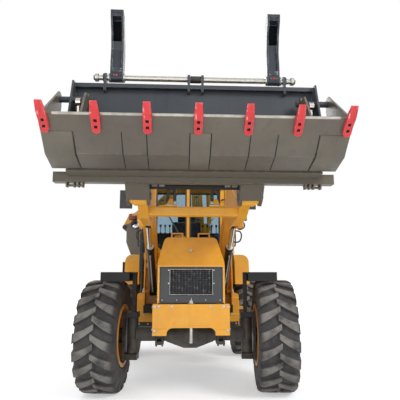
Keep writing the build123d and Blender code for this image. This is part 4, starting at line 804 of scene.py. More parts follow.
# %% [markdown]
# The forks are bars of plate welded into a box, hung on a shaft over the bucket. Pins with washers hold
# them, and a red grease cap sits on each hub. Weld beads run where the hub meets the bar.
# %% Fork hubs
FORK_Y = -1410.0
FORK_Z = 2935.0
HUB_BAR = ((FORK_Y - 46, 3010), (FORK_Y - 30, 3010), (FORK_Y - 26, 2980), (FORK_Y - 44, 2974))
for label, side in (("left", 1), ("right", -1)):
    bm = bmesh.new()
    for x in (632, 738):
        hoop(bm, here(side * x, FORK_Y, FORK_Z), ACROSS, 0.037, 0.005, 32)
    for x, reach, radius, sides, edge in ((660, 47, 0.009, 12, 0.002), (706, 50, 0.008, 6, 0.001)):
        inner = here(side * x, FORK_Y - 36, FORK_Z + 4)
        bar(bm, inner, here(side * x, FORK_Y - reach, FORK_Z + 5), radius, sides, edge)
    sheet_of(bm, side_view(side * 643, HUB_BAR), Vector((side * 0.084, 0, 0)), 0.003)
    made(bm, "fork_hub_" + label, "fork_" + label, dark_blue)
    bm = bmesh.new()
    dome(bm, here(side * 685, FORK_Y - 39, FORK_Z + 8), Vector((0, -1, 0.1)).normalized(), 0.010, 0.009)
    made(bm, "fork_grease_cap_" + label, "fork_" + label, red)
WASHERS = ((790, 12, 0.038, 24), (842, 12, 0.034, 24), (868, 16, 0.024, 6), (56, 16, 0.036, 24))
bm = bmesh.new()
for side in (-1, 1):
    for x, thick, radius, sides in WASHERS:
        inner = here(side * x, FORK_Y, FORK_Z)
        bar(bm, inner, here(side * (x + thick), FORK_Y, FORK_Z), radius, sides, 0.003)
    hoop(bm, here(side * 64, FORK_Y, FORK_Z), ACROSS, 0.037, 0.004, 32)
bar(bm, here(-46, FORK_Y, FORK_Z), here(46, FORK_Y, FORK_Z), 0.031, 24, 0.004)
made(bm, "shaft_washers", "bucket", cast)
print("fork hubs and", len(WASHERS) * 2, "washers made")

# %% [markdown]
# Every hydraulic cylinder has a gland screwed into its mouth, two ports for oil and a steel line that
# carries oil to the far one. One table lists the cylinders by their pins, and a loop dresses them all: a
# thicker ring at the mouth with wrench flats, a port block at each end and a bent pipe between them.
# %% Cylinder glands and lines
CYLINDERS = [
    ("lift", "lift_barrel", here, (-465, 465), (940, 1030), (-275, 1825), 45, 27, 1085, -1),
    ("tilt", "tilt_barrel", here, (-490, 490), (-280, 2560), (-1170, 2310), 44, 25, 865, 1),
    ("clam", "clam_barrel", here, (-965, 965), (-1540, 2235), (-1565, 2640), 32, 18, 400, 1),
    ("boom", "boom_barrel", swung, (0,), (-6, 1134), (-15, 2047), 45, 26, 910, -1),
    ("stick", "stick_barrel", swung, (0,), (-19, 2192), (20, 3480), 42, 24, 770, 1),
    ("curl", "curl_barrel", swung, (0,), (640, 3170), (1508, 2370), 38, 22, 780, 1),
]
FIRST_PORT = 0.115
for label, barrel, where, rows, base, eye, barrel_r, rod_r, shortest, lift_side in CYLINDERS:
    bm = bmesh.new()
    rings = bmesh.new()
    lines = []
    r = barrel_r / 1000
    mouth_at = (shortest - 110) / 1000
    last_port = mouth_at - 0.085
    bends = ((FIRST_PORT, 1.0), (FIRST_PORT + 0.03, 1.12), (FIRST_PORT + 0.10, 0.86),
             (last_port - 0.10, 0.86), (last_port - 0.03, 1.12), (last_port, 1.0))
    for x in rows:
        foot_at = where(x, *base)
        run = (where(x, *eye) - foot_at).normalized()
        up = run.cross(where(x + 100, *base) - foot_at).normalized()
        if up.z * lift_side < 0:
            up = -up
        mouth = foot_at + run * mouth_at
        bar(bm, mouth - run * 0.045, mouth + run * 0.002, r + 0.004, 32, 0.002)
        bar(rings, mouth + run * 0.001, mouth + run * 0.016, r - 0.003, 12, 0.003)
        bar(rings, mouth + run * 0.014, mouth + run * 0.024, rod_r / 1000 + 0.007, 28, 0.002)
        for at in (FIRST_PORT, last_port):
            port = foot_at + run * at
            bar(bm, port, port + up * (r + 0.016), 0.015, 20, 0.002)
            bar(rings, port + up * (r + 0.014), port + up * (r + 0.028), 0.011, 6, 0.001)
        high = up * (r + 0.030)
        lines.append([foot_at + run * at + high * share for at, share in bends])
    solid = nodes[barrel if barrel in nodes else barrel + "s"]
    made(bm, label + "_glands", barrel, solid.data.materials[0])
    made(rings, label + "_gland_rings", barrel, zinc)
    pipes(label + "_oil_lines", barrel, lines, 0.0065, zinc)
print("cylinders dressed:", len(CYLINDERS))

# %% [markdown]
# A pivot pin has a broad head with a smaller disc on it, one bolt keeps it from turning, and a grease
# nipple feeds it. The pins' places come from the drawing, in side view, so one table and one loop dress
# them all.
# %% Pin heads
PINS = [
    ("root", here, 603, 38, ((950, 1500),)),
    ("root", here, 595, 30, ((940, 1030),)),
    ("arms", here, 565, 28, ((-280, 2560), (-275, 1825))),
    ("bucket", here, 600, 34, ((-1200, 1930),)),
    ("bucket", here, 598, 40, ((-1170, 2310),)),
    ("post", swung, 145, 36, ((200, 800),)),
    ("post", swung, 76, 24, ((-6, 1134),)),
    ("boom", swung, 112, 34, ((260, 3250),)),
    ("boom", swung, 72, 24, ((-15, 2047), (-19, 2192))),
    ("dig_bucket", swung, 131, 28, ((1400, 2200), (1615, 2151))),
    ("dipper", swung, 131, 24, ((1180, 2403),)),
    ("dipper", swung, 68, 24, ((640, 3170),)),
    ("rocker", swung, 131, 22, ((1508, 2370),)),
]
for index, (body, where, out_x, radius, spots) in enumerate(PINS):
    bm = bmesh.new()
    stack = ((-2, 7, 0, (radius + 11) / 1000, 28, 0.003), (5, 11, 0, (radius - 6) / 1000, 28, 0.002),
             (5, 13, radius * 0.62, 0.008, 6, 0.001), (10, 19, 0, 0.004, 10, 0.001))
    for y, z in spots:
        for side in (-1, 1):
            for start, end, off, size, sides, edge in stack:
                inner = where(side * (out_x + start), y + off, z + off)
                outer = where(side * (out_x + end), y + off, z + off)
                bar(bm, inner, outer, size, sides, edge)
    made(bm, "pin_heads_%02d_%s" % (index, body), body, zinc if index % 3 else cast)
print("pins dressed:", sum(len(row[4]) for row in PINS) * 2)

# %% [markdown]
# The nose is a thick plate that guards the radiator and carries the towing pin. Its front and its sides
# have bolts, thin ribs are welded on, and the pin has a collar and a pull ring.
# %% Nose
NOSE_Y = -430.0
bm = bmesh.new()
for side in (-1, 1):
    for x, z in ((372, 925), (372, 690), (200, 925), (330, 925)):
        bar(bm, here(side * x, NOSE_Y + 1, z), here(side * x, NOSE_Y - 3, z), 0.014, 20, 0.001)
        bar(bm, here(side * x, NOSE_Y - 2, z), here(side * x, NOSE_Y - 9, z), 0.010, 6, 0.0015)
    for y, z in ((-400, 920), (-355, 920), (-400, 700)):
        bar(bm, here(side * 394, y, z), here(side * 403, y, z), 0.011, 6, 0.0015)
bar(bm, here(0, -385, 948), here(0, -385, 985), 0.021, 24, 0.003)
bar(bm, here(0, -385, 955), here(0, -385, 962), 0.036, 24, 0.002)
hoop(bm, here(0, -385, 990), ACROSS, 0.026, 0.004, 28)
bar(bm, here(0, -385, 560), here(0, -385, 950), 0.019, 20, 0.004)
made(bm, "nose_bolts_and_towing_pin", "root", zinc)
MIDDLE_RIB = ((-190, 760), (190, 760), (172, 735), (-172, 735))
OUTER_RIB = ((262, 700), (392, 700), (392, 712), (256, 712))
bm = bmesh.new()
sheet_of(bm, front_view(NOSE_Y - 5, MIDDLE_RIB), Vector((0, 0.006, 0)), 0.002)
for side in (-1, 1):
    sheet_of(bm, front_view(NOSE_Y - 4, OUTER_RIB, side), Vector((0, 0.005, 0)), 0.0015)
made(bm, "nose_ribs", "root", yellow)
print("nose dressed")

# %% [markdown]
# The hood behind the nose opens, so it has a latch stud and a rubber seal round the grille. Its sides and its
# top have raised frames round their panels, hinge plates sit at the back, and the air cleaner's cap stands on
# it with thin black rings round it.
# %% Hood
HOOD_Y = -400.0
bm = bmesh.new()
bar(bm, here(0, -262, 1512), here(0, -284, 1497), 0.017, 24, 0.003)
bar(bm, here(0, -282, 1499), here(0, -292, 1492), 0.010, 20, 0.002)
for side in (-1, 1):
    for z in (1000, 1180, 1300):
        bar(bm, here(side * 336, HOOD_Y + 1, z), here(side * 336, HOOD_Y - 4, z), 0.007, 6, 0.001)
    for y in (-300, 100, 620, 1080):
        bar(bm, here(side * 349, y, 985), here(side * 355, y, 985), 0.009, 6, 0.001)
made(bm, "hood_stud_and_screws", "root", zinc)
bm = bmesh.new()
for side in (-1, 1):
    for front, back in ((150, 550), (660, 1120)):
        panel_edge = side_view(side * 349.5, oblong(front, back, 1016, 1332))
        rim_of(bm, panel_edge, 0.012, Vector((side * 0.004, 0, 0)))
    slab(bm, here(side * 349, 1150, 1150), here(side * 356, 1176, 1260), 0.002)
    slab(bm, here(side * 349, 575, 1120), here(side * 362, 640, 1150), 0.004)
rim_of(bm, plan_view(1659.5, oblong(-210, 210, -60, 620)), 0.010, Vector((0, 0, 0.004)))
bar(bm, here(-120, 830, 1655), here(-120, 830, 1700), 0.045, 28, 0.004)
bar(bm, here(-120, 830, 1698), here(-120, 830, 1760), 0.075, 32, 0.012)
made(bm, "hood_panel_edges", "root", yellow)
bm = bmesh.new()
for index in range(7):
    z = 1712 + index * 6
    hoop(bm, here(-120, 830, z), UP, 0.0755, 0.002, 32)
rim_of(bm, front_view(HOOD_Y - 1, oblong(-330, 330, 957, 1330)), 0.008, Vector((0, 0.004, 0)))
made(bm, "hood_seal", "root", hose_rubber)
print("hood dressed")

# %% [markdown]
# The grille has a sheet with a fine wire mesh, a pale bead round its window and bolts. The mesh starts as a
# grid that is split into triangles, and bmesh's wireframe turns the edges of the triangles into wires.
# %% Grille
bm = bmesh.new()
MESH_X = 34
MESH_Z = 20
bmesh.ops.create_grid(bm, x_segments=MESH_X, y_segments=MESH_Z, size=1.0)
for vert in bm.verts:
    vert.co = here(vert.co.x * 221, -386, 1175 + vert.co.y * 126)
bmesh.ops.triangulate(bm, faces=bm.faces[:])
bmesh.ops.wireframe(bm, faces=bm.faces[:], thickness=0.0022, use_replace=True, use_boundary=True,
                    use_even_offset=False)
made(bm, "grille_mesh", "root", black)
bm = bmesh.new()
rim_of(bm, front_view(-400.5, oblong(-224, 224, 1046, 1304)), 0.0035, Vector((0, -0.003, 0)))
for side in (-1, 1):
    for z in (1160, 1296):
        bar(bm, here(side * 236, -394, z), here(side * 236, -403, z), 0.008, 16, 0.002)
for x in (-300, -150, 0, 150, 300):
    bar(bm, here(x, -394, 990), here(x, -400, 990), 0.006, 16, 0.002)
made(bm, "grille_bead_and_bolts", "root", zinc)
print("grille mesh with", MESH_X, "by", MESH_Z, "fields")

# %% [markdown]
# Oil runs along the loader's arms in steel lines held by clamps, and jumps to the bucket through short
# hoses that loop over the cross tube. The photo shows four such dark hoses in two pairs, each rising from a
# bright fitting. Their bends are smooth curves through a few points, and the fittings are nuts on a small
# block.
# %% Lines and hoses on the loader
TUBE_Y = -950.0
TUBE_TOP = 1872.0
runs = []
bm = bmesh.new()
for side in (-1, 1):
    for inner, outer in ((168, 232), (182, 246)):
        middle = (inner + outer) / 2
        bends = ((inner, -20, 22), (inner, -24, 120), (inner, -60, 205), (middle, -95, 225),
                 (outer, -60, 205), (outer, -10, 120), (outer, 16, 22))
        runs.append([here(side * x, TUBE_Y + y, TUBE_TOP + z) for x, y, z in bends])
        for x, y in ((inner, TUBE_Y - 20), (outer, TUBE_Y + 16)):
            bar(bm, here(side * x, y, TUBE_TOP + 10), here(side * x, y, TUBE_TOP + 32), 0.013, 6, 0.0015)
            bar(bm, here(side * x, y, TUBE_TOP + 32), here(side * x, y, TUBE_TOP + 58), 0.0105, 16, 0.002)
        top = here(side * middle, TUBE_Y - 92, TUBE_TOP + 222)
        bar(bm, top - Vector((0.016, 0, 0)), top + Vector((0.016, 0, 0)), 0.0125, 6, 0.002)
    corner = here(side * 155, TUBE_Y - 34, TUBE_TOP + 12)
    slab(bm, corner, here(side * 262, TUBE_Y + 30, TUBE_TOP + 24), 0.003)
pipes("loader_hoses", "arms", runs, 0.0085, hose_rubber)
made(bm, "hose_fittings", "arms", zinc)
ARM_LINE = ((860, 1580), (850, 1664), (760, 1722), (300, 2043), (-120, 2336), (-170, 2400), (-160, 2470))
lines = []
bm = bmesh.new()
for side in (-1, 1):
    for step_in in (0, 22):
        lines.append(side_view(side * (442 + step_in), ARM_LINE))
    for y, z in ((700, 1742), (420, 1940), (140, 2135)):
        spot = here(side * 453, y, z)
        left, right = (spot + Vector((way * 0.026, 0, 0.012)) for way in (-side, side))
        bar(bm, left, right, 0.012, 12, 0.002)
        bar(bm, spot + UP * 0.016, spot + UP * 0.030, 0.007, 6, 0.001)
pipes("arm_oil_lines", "arms", lines, 0.0065, zinc)
made(bm, "arm_line_clamps", "arms", cast)
beads = []
for side in (-1, 1):
    for x in (417, 563):
        beads.append([here(side * x, -1030, 1930), here(side * x, -760, 2040), here(side * x, -420, 2200)])
    beads.append([here(side * 413, -898, 1790), here(side * 413, -898, 1872)])
    beads.append([here(side * 413, -1006, 1790), here(side * 413, -1006, 1872)])
    for x in (160, 262):
        beads.append([here(side * x, -942, 1874), here(side * (196 if x == 160 else 226), -942, 1948)])
pipes("arm_welds", "arms", beads, 0.004, yellow, straight=True)
print("loader:", len(runs), "hoses,", len(lines), "steel lines,", len(beads), "weld beads")

# %% [markdown]
# Glass in a cab is held in a black rubber profile. Each seal is a flat frame: the outline of a pane is
# inset, the inside is taken out and the rest is pushed out. The door stands at an angle, so a function of
# its own places points on it.
# %% Window and door seals
PANE_LOW = 1602.0
PANE_HIGH = 2698.0
bm = bmesh.new()
for side in (-1, 1):
    for y, push in ((1217, -0.006), (1228, 0.006)):
        pane = front_view(y, oblong(20, 463, PANE_LOW, PANE_HIGH), side)
        rim_of(bm, pane, 0.022, Vector((0, push, 0)))
    for x, push in ((697, 0.008), (694, -0.006)):
        pane = side_view(side * x, oblong(2016, 2650, PANE_LOW, PANE_HIGH))
        rim_of(bm, pane, 0.024, Vector((side * push, 0, 0)))
for y, push in ((2698, 0.008), (2688, -0.006)):
    pane = front_view(y, oblong(-655, 655, PANE_LOW, PANE_HIGH))
    rim_of(bm, pane, 0.024, Vector((0, push, 0)))
pane = [here(-533, 1262, PANE_LOW), here(-703, 1914, PANE_LOW),
        here(-703, 1914, PANE_HIGH), here(-533, 1262, PANE_HIGH)]
rim_of(bm, pane, 0.024, Vector((-0.010, 0.0026, 0)))
made(bm, "window_seals", "root", hose_rubber)
door_way = (here(725, 1950, 0) - here(530, 1200, 0)).normalized()
door_out = Vector((door_way.y, -door_way.x, 0))


def on_door(along_mm, out_mm, z):
    """A point on the left door, measured from its hinge edge, outwards from its skin and up."""
    return here(530, 1200, z) + door_way * along_mm / 1000 + door_out * out_mm / 1000


DOOR_LEN = math.hypot(195, 750)
ring = ((75, 1160), (255, 1160), (315, 1645), (DOOR_LEN - 70, 1645), (DOOR_LEN - 70, 2685), (75, 2685))
bm = bmesh.new()
rim_of(bm, [on_door(a, 0.5, z) for a, z in ring], 0.022, door_out * 0.007)
made(bm, "door_seal", "door", hose_rubber)
print("door is", round(DOOR_LEN), "mm long")

# %% [markdown]
# The door has a handle: a plate with a grip on it. A wiper sweeps the windscreen from its foot: a turned
# foot, an arm that thins towards the tip, and a blade.
# %% Door handle and wiper
HANDLE = ((DOOR_LEN - 62, DOOR_LEN - 22, 1560, 1640, -2, 8),
          (DOOR_LEN - 54, DOOR_LEN - 32, 1575, 1625, 8, 30))
bm = bmesh.new()
for low, high, base, top, inner, outer in HANDLE:
    corners = [on_door(a, inner, z) for a, z in oblong(low, high, base, top)]
    sheet_of(bm, corners, door_out * (outer - inner) / 1000, 0.003)
made(bm, "door_handle", "door", plastic)
bm = bmesh.new()
wiper_foot = here(-34, 1196, 1662)
wiper_tip = here(-405, 1196, 2300)
arm_way = (wiper_tip - wiper_foot).normalized()
bar(bm, wiper_foot + Vector((0, 0.012, 0)), wiper_foot - Vector((0, 0.012, 0)), 0.017, 20, 0.003)
bar(bm, wiper_foot, wiper_foot + arm_way * 0.50, 0.010, 12, 0.001)
bar(bm, wiper_foot + arm_way * 0.22, wiper_tip, 0.008, 10, 0.001)
blade_foot = wiper_foot + arm_way * 0.24
near_side = Vector((0.004, 0.004, 0.002))
far_side = Vector((-0.004, 0.012, -0.002))
blade = [blade_foot + near_side, wiper_tip + near_side, wiper_tip + far_side, blade_foot + far_side]
sheet_of(bm, blade, Vector((0.002, 0, 0.001)))
made(bm, "wiper", "root", plastic)
print("wiper is", round((wiper_tip - wiper_foot).length * 1000), "mm long")

# %% [markdown]
# Under the roof's front and back edges sit work lamps: a square housing, a bright reflector and a glass
# front. The round headlamps and the amber turn lamps stand beside the cab, with four ribs on each turn
# lamp's lens.
# %% Work lamps, headlamps and turn lamps
housing = bmesh.new()
glass = bmesh.new()
shell = bmesh.new()
for x, y, way in ((-470, 1150, -1), (470, 1150, -1), (-560, 2770, 1), (560, 2770, 1)):
    slab(housing, here(x - 70, y - way * 45, 2790), here(x + 70, y, 2870), 0.008)
    slab(housing, here(x - 12, y - way * 60, 2810), here(x + 12, y - way * 40, 2850), 0.002)
    slab(glass, here(x - 60, y - way * 2, 2798), here(x + 60, y + way * 5, 2862), 0.004)
    slab(shell, here(x - 56, y - way * 3, 2802), here(x + 56, y + way * 1, 2858), 0.002)
made(housing, "roof_lamp_housings", "root", plastic)
made(shell, "roof_lamp_reflectors", "root", mirror_glass)
made(glass, "roof_lamp_glass", "root", clear_lens)
housing = bmesh.new()
shell = bmesh.new()
glass = bmesh.new()
amber = bmesh.new()
for side in (-1, 1):
    hoop(housing, here(side * 745, 1081, 1940), BACK, 0.056, 0.007, 36)
    bar(shell, here(side * 745, 1083, 1940), here(side * 745, 1079, 1940), 0.052, 32, 0.001)
    dome(glass, here(side * 745, 1079, 1940), -BACK, 0.051, 0.020)
    slab(amber, here(side * 728, 1087, 2013), here(side * 832, 1070, 2072), 0.010)
    for offset in (-30, -10, 10, 30):
        bar(amber, here(side * (780 + offset), 1071, 2018), here(side * (780 + offset), 1071, 2067), 0.004, 8)
made(housing, "headlamp_rims", "root", plastic)
made(shell, "headlamp_reflectors", "root", mirror_glass)
made(glass, "headlamp_glass", "root", clear_lens)
made(amber, "turn_lamps", "root", amber_lens)
print("lamps made")

# %% [markdown]
# The mirrors get a bright face. Grab rails are bent bars that help the driver up, and a drip edge under the
# roof keeps the rain off the windscreen.
# %% Mirrors, grab rails and drip edge
bm = bmesh.new()
for side in (-1, 1):
    slab(bm, here(side * 810, 1172, 2192), here(side * 965, 1169, 2428), 0.002)
made(bm, "mirror_faces", "root", mirror_glass)
FRONT_RAIL = ((1178, 1300), (1140, 1300), (1128, 1330), (1128, 1700), (1140, 1735), (1196, 1735))
BACK_RAIL = ((740, 1700), (775, 1700), (785, 1730), (785, 2080), (775, 2110), (735, 2110))
rails = []
for side in (-1, 1):
    rails.append(side_view(side * 470, FRONT_RAIL))
    rails.append(front_view(1992, BACK_RAIL, side))
pipes("grab_rails", "root", rails, 0.012, plastic)
bm = bmesh.new()
slab(bm, here(-690, 1175, 2756), here(690, 1160, 2776), 0.004)
for side in (-1, 1):
    bar(bm, here(side * 18, 1200, 1560), here(side * 18, 1180, 1560), 0.010, 12, 0.001)
made(bm, "roof_drip_edge", "root", plastic)
print("grab rails:", len(rails))

# %% [markdown]
# A seat pad is foam under a cover. It swells in the middle, its edges are round and its seams pull the
# cover in. Cloth simulation makes such pads well, but through the glass this seat is a few pixels high, so
# the moves are written out: a cube is divided finely, one face is crowned, two channels are pressed into it
# and its corners are smoothed.
# %% Seat pads
seat_cloth = finish_of("seat cover", (0.030, 0.031, 0.034), (0.055, 0.055, 0.06), 0.8, scale=9.0,
                       grain=520.0, bump=0.5, shine=0.3)
seat_edge = finish_of("seat piping", (0.34, 0.34, 0.33), (0.24, 0.24, 0.235), 0.6, scale=40.0,
                      grain=300.0, bump=0.4)
PAD_CUTS = 15
CHANNEL_DEEP = 0.008
SMOOTH_TURNS = 2


def pad(name, low, high, face_axis, face_sign, crown):
    """A cushion between two corners, crowned on the face that looks along one axis, with two channels."""
    bm = bmesh.new()
    bmesh.ops.create_cube(bm, size=2.0)
    bmesh.ops.subdivide_edges(bm, edges=bm.edges[:], cuts=PAD_CUTS, use_grid_fill=True)
    middle = (low + high) / 2
    half = (high - low) / 2
    long_axis = 1 if face_axis == 2 else 2
    for vert in bm.verts:
        across, length = vert.co.x, vert.co[long_axis]
        swell = crown * (1 - across ** 2) * (1 - length ** 2)
        seams = sum(math.exp(-((across - seam) / 0.07) ** 2) for seam in (-0.45, 0.45))
        channel = CHANNEL_DEEP * seams * (1 - length ** 4)
        on_face = vert.co[face_axis] * face_sign > 0.999
        spot = Vector([middle[k] + vert.co[k] * half[k] for k in range(3)])
        if on_face:
            spot[face_axis] += face_sign * (swell - channel)
        vert.co = spot
    for turn in range(SMOOTH_TURNS):
        bmesh.ops.smooth_vert(bm, verts=bm.verts[:], factor=0.5, use_axis_x=True, use_axis_y=True,
                              use_axis_z=True)
    piece = made(bm, name, "root", seat_cloth, angle=60.0)
    rounder = piece.modifiers.new("rounder", "SUBSURF")
    rounder.levels = 1
    rounder.render_levels = 1
    return piece


pad("seat_cushion", here(-254, 2066, 1410), here(254, 2500, 1574), 2, 1, 0.020)
pad("seat_back", here(-246, 2424, 1540), here(246, 2596, 2146), 1, -1, 0.022)
pad("head_rest", here(-150, 2452, 2160), here(150, 2560, 2330), 1, -1, 0.014)
CUSHION_SEAM = ((-236, 2072, 1560), (236, 2072, 1560), (250, 2100, 1562), (250, 2420, 1562))
BACK_SEAM = ((-228, 2432, 1640), (-232, 2428, 2060), (-200, 2430, 2128), (0, 2426, 2140),
             (200, 2430, 2128), (232, 2428, 2060), (228, 2432, 1640))
HEAD_SEAM = ((-130, 2458, 2180), (-138, 2452, 2290), (0, 2448, 2326), (138, 2452, 2290), (130, 2458, 2180))
piping = [[here(*spot) for spot in seam] for seam in (CUSHION_SEAM, BACK_SEAM, HEAD_SEAM)]
pipes("seat_piping", "root", piping, 0.005, seat_edge)
bm = bmesh.new()
for side in (-1, 1):
    bar(bm, here(side * 80, 2510, 2130), here(side * 80, 2510, 2180), 0.007, 16, 0.001)
    bar(bm, here(side * 285, 2500, 1620), here(side * 285, 2480, 1660), 0.020, 20, 0.004)
    slab(bm, here(side * 258, 2250, 1640), here(side * 312, 2520, 1668), 0.012)
    bar(bm, here(side * 252, 2500, 1650), here(side * 290, 2500, 1650), 0.014, 16, 0.002)
made(bm, "seat_frame", "root", plastic)
print("seat made of three pads with", len(piping), "seams")

# %% [markdown]
# Behind the windscreen the photo shows a dark lower edge: the instrument panel and the side consoles with
# their levers. Two towers behind the seat carry the levers of the backhoe. They are moulded boxes with
# rounded edges. Each gauge is a ring round a pale dial, and a lever is a thin bar with a turned knob on
# top.
# %% Instrument panel, consoles and levers
bm = bmesh.new()
PANEL = ((1262, 1600), (1262, 1668), (1300, 1700), (1400, 1712), (1432, 1640), (1415, 1600))
TOWER = ((2600, 1560), (2590, 1900), (2615, 1975), (2655, 1960), (2660, 1560))
sheet_of(bm, side_view(-340, PANEL), Vector((0.68, 0, 0)), 0.012)
for side in (-1, 1):
    slab(bm, here(side * 360, 1980, 1380), here(side * 520, 2560, 1560), 0.020)
    slab(bm, here(side * 400, 2080, 1080), here(side * 500, 2480, 1390), 0.014)
    for y in (2060, 2140, 2220):
        bar(bm, here(side * 440, y, 1555), here(side * 440, y, 1572), 0.022, 20, 0.004)
        bar(bm, here(side * 440, y, 1570), here(side * 446, y - 12, 1710), 0.006, 12)
for side in (-1, 1):
    sheet_of(bm, side_view(side * 215, TOWER), Vector((side * 0.40, 0, 0)), 0.015)
    for x in (290, 370, 450, 530):
        bar(bm, here(side * x, 2630, 1960), here(side * x, 2626, 1980), 0.020, 20, 0.004)
        bar(bm, here(side * x, 2626, 1975), here(side * x, 2600, 2085), 0.006, 12)
        bar(bm, here(side * x, 2602, 2075), here(side * x, 2592, 2118), 0.016, 16, 0.005, tip=0.020)
for x in (-95, 95):
    slab(bm, here(x - 38, 1420, 1130), here(x + 38, 1490, 1142), 0.004)
    bar(bm, here(x, 1415, 1090), here(x, 1455, 1132), 0.009, 12)
made(bm, "panel_and_consoles", "root", plastic)
bm = bmesh.new()
dials = bmesh.new()
for x in (-150, -50, 50, 150):
    centre = here(x, 1424, 1676)
    hoop(bm, centre, Vector((0, 0.93, 0.36)), 0.034, 0.004, 28)
    bar(dials, centre - Vector((0, 0.004, 0.002)), centre + Vector((0, 0.001, 0.0005)), 0.031, 24, 0.001)
for side in (-1, 1):
    for y in (2060, 2140, 2220):
        dome(dials, here(side * 446, y - 12, 1706), UP, 0.020, 0.030)
made(bm, "gauge_rings", "root", zinc)
made(dials, "dials_and_knobs", "root", seat_edge)
print("panel, consoles and towers made")

# %% [markdown]
# The two tanks beside the frame carry filler caps and a level glass that the photo shows as a white strip.
# Steps below the door have raised studs so that a boot doesn't slip. A cap is a turned disc with grip ribs,
# each a small bar, and belly guards of bent plate shield the tanks from stones.
# %% Tanks and steps
GRIPS = 12
bm = bmesh.new()
glass = bmesh.new()
bolts = bmesh.new()
for side in (-1, 1):
    bar(bm, here(side * 560, 1170, 1024), here(side * 560, 1170, 1060), 0.046, 32, 0.006)
    bar(bm, here(side * 560, 1170, 1058), here(side * 560, 1170, 1066), 0.026, 24, 0.003)
    for index in range(GRIPS):
        angle = math.tau * index / GRIPS
        spot = here(side * 560 + 46 * math.cos(angle), 1170 + 46 * math.sin(angle), 1030)
        bar(bm, spot, spot + Vector((0, 0, 0.026)), 0.005, 8, 0.001)
    for z in (700, 920):
        slab(bm, here(side * 368, 1086, z), here(side * 702, 1092, z + 26), 0.002)
    slab(glass, here(side * 580, 1084, 730), here(side * 604, 1091, 872), 0.004)
    for z in (716, 886):
        bar(bolts, here(side * 592, 1092, z), here(side * 592, 1080, z), 0.014, 6, 0.002)
    for z in (500, 800):
        for x in (722, 765, 808):
            for y in range(1180, 1480, 60):
                bar(bolts, here(side * x, y, z - 1), here(side * x, y, z + 4), 0.011, 12, 0.001, tip=0.007)
made(bm, "tank_caps_and_straps", "root", yellow)
bm = bmesh.new()
for side in (-1, 1):
    slab(bm, here(side * 392, 1096, 466), here(side * 690, 1108, 624), 0.003)
    slab(bm, here(side * 392, 1096, 466), here(side * 690, 1590, 476), 0.003)
    for x in (420, 540, 660):
        bar(bolts, here(side * x, 1098, 596), here(side * x, 1086, 596), 0.011, 6, 0.002)
made(bm, "stone_guards", "root", black)
made(glass, "level_glass", "root", seat_edge)
made(bolts, "tank_bolts_and_step_studs", "root", zinc)
print("tanks and steps dressed")

# %% [markdown]
# At the back, lamps stand on the upper beam: a box with a red and an amber lens on each side.
# %% Rear lamps
housing = bmesh.new()
lens = bmesh.new()
flasher = bmesh.new()
for side in (-1, 1):
    slab(housing, here(side * 850, 3026, 1236), here(side * 1010, 3078, 1318), 0.008)
    dome(lens, here(side * 890, 3076, 1278), BACK, 0.032, 0.016)
    dome(flasher, here(side * 968, 3076, 1278), BACK, 0.032, 0.016)
made(housing, "rear_lamp_boxes", "root", plastic)
made(lens, "rear_lamp_glass", "root", red_lens)
made(flasher, "rear_turn_lamps", "root", amber_lens)
print("rear lamps made")

# %% [markdown]
# The stabiliser feet are stiffened by ribs, three-cornered plates between the foot and its post, and
# bolted. A collar closes each stabiliser's tube round the post that slides in it.
# %% Stabiliser feet and tube collars
for label, side in (("left", 1), ("right", -1)):
    bm = bmesh.new()
    for x, far in ((1039, 950), (1131, 1146)):
        rib = front_view(3069, ((x, 314), (far, 314), (x, 396)), side)
        sheet_of(bm, rib, Vector((0, 0.012, 0)), 0.002)
    rib = side_view(side * 1079, ((3029, 314), (2952, 314), (3029, 396)))
    sheet_of(bm, rib, Vector((side * 0.012, 0, 0)), 0.002)
    for x, y in ((960, 2970), (1126, 2970), (960, 3122), (1126, 3122)):
        bar(bm, here(side * x, y, 312), here(side * x, y, 322), 0.012, 6, 0.002)
    made(bm, "foot_ribs_" + label, "stabiliser_" + label, black)
bm = bmesh.new()
for side in (-1, 1):
    rim_of(bm, plan_view(432, oblong(1017, 1153, 3007, 3143), side), 0.0085, Vector((0, 0, 0.03)))
made(bm, "tube_collars", "root", black)
print("stabiliser feet dressed")

# %% [markdown]
# The upright exhaust has clamp bands and a rain flap that the gas lifts. The flap is a thin disc tilted on
# its hinge. Pressed ribs and a raised rim stiffen the cab's roof.
# %% Exhaust and roof
bm = bmesh.new()
hinge = here(-645, 1304, 2152)
flap_middle = hinge + Vector((0, 0.94, 0.34)) * 0.030
half_thick = Vector((0, -0.001, 0.002))
bar(bm, flap_middle - half_thick, flap_middle + half_thick, 0.029, 28, 0.001)
bar(bm, hinge - Vector((0.018, 0, 0)), hinge + Vector((0.018, 0, 0)), 0.006, 12, 0.001)
for z, radius in ((1310, 0.0525), (1560, 0.0525), (1830, 0.0525), (1880, 0.0265), (2120, 0.0265)):
    hoop(bm, here(-645, 1330, z), UP, radius, 0.004, 32)
made(bm, "exhaust_bands_and_flap", "root", cast)
bm = bmesh.new()
ROOF_RIM = ((-520, 1330), (520, 1330), (560, 2560), (-560, 2560))
rim_of(bm, plan_view(2878, ROOF_RIM), 0.035, Vector((0, 0, 0.010)))
for x in (-300, -150, 0, 150, 300):
    slab(bm, here(x - 14, 1440, 2878), here(x + 14, 2450, 2887), 0.003)
made(bm, "roof_ribs", "root", yellow)
print("exhaust and roof dressed")

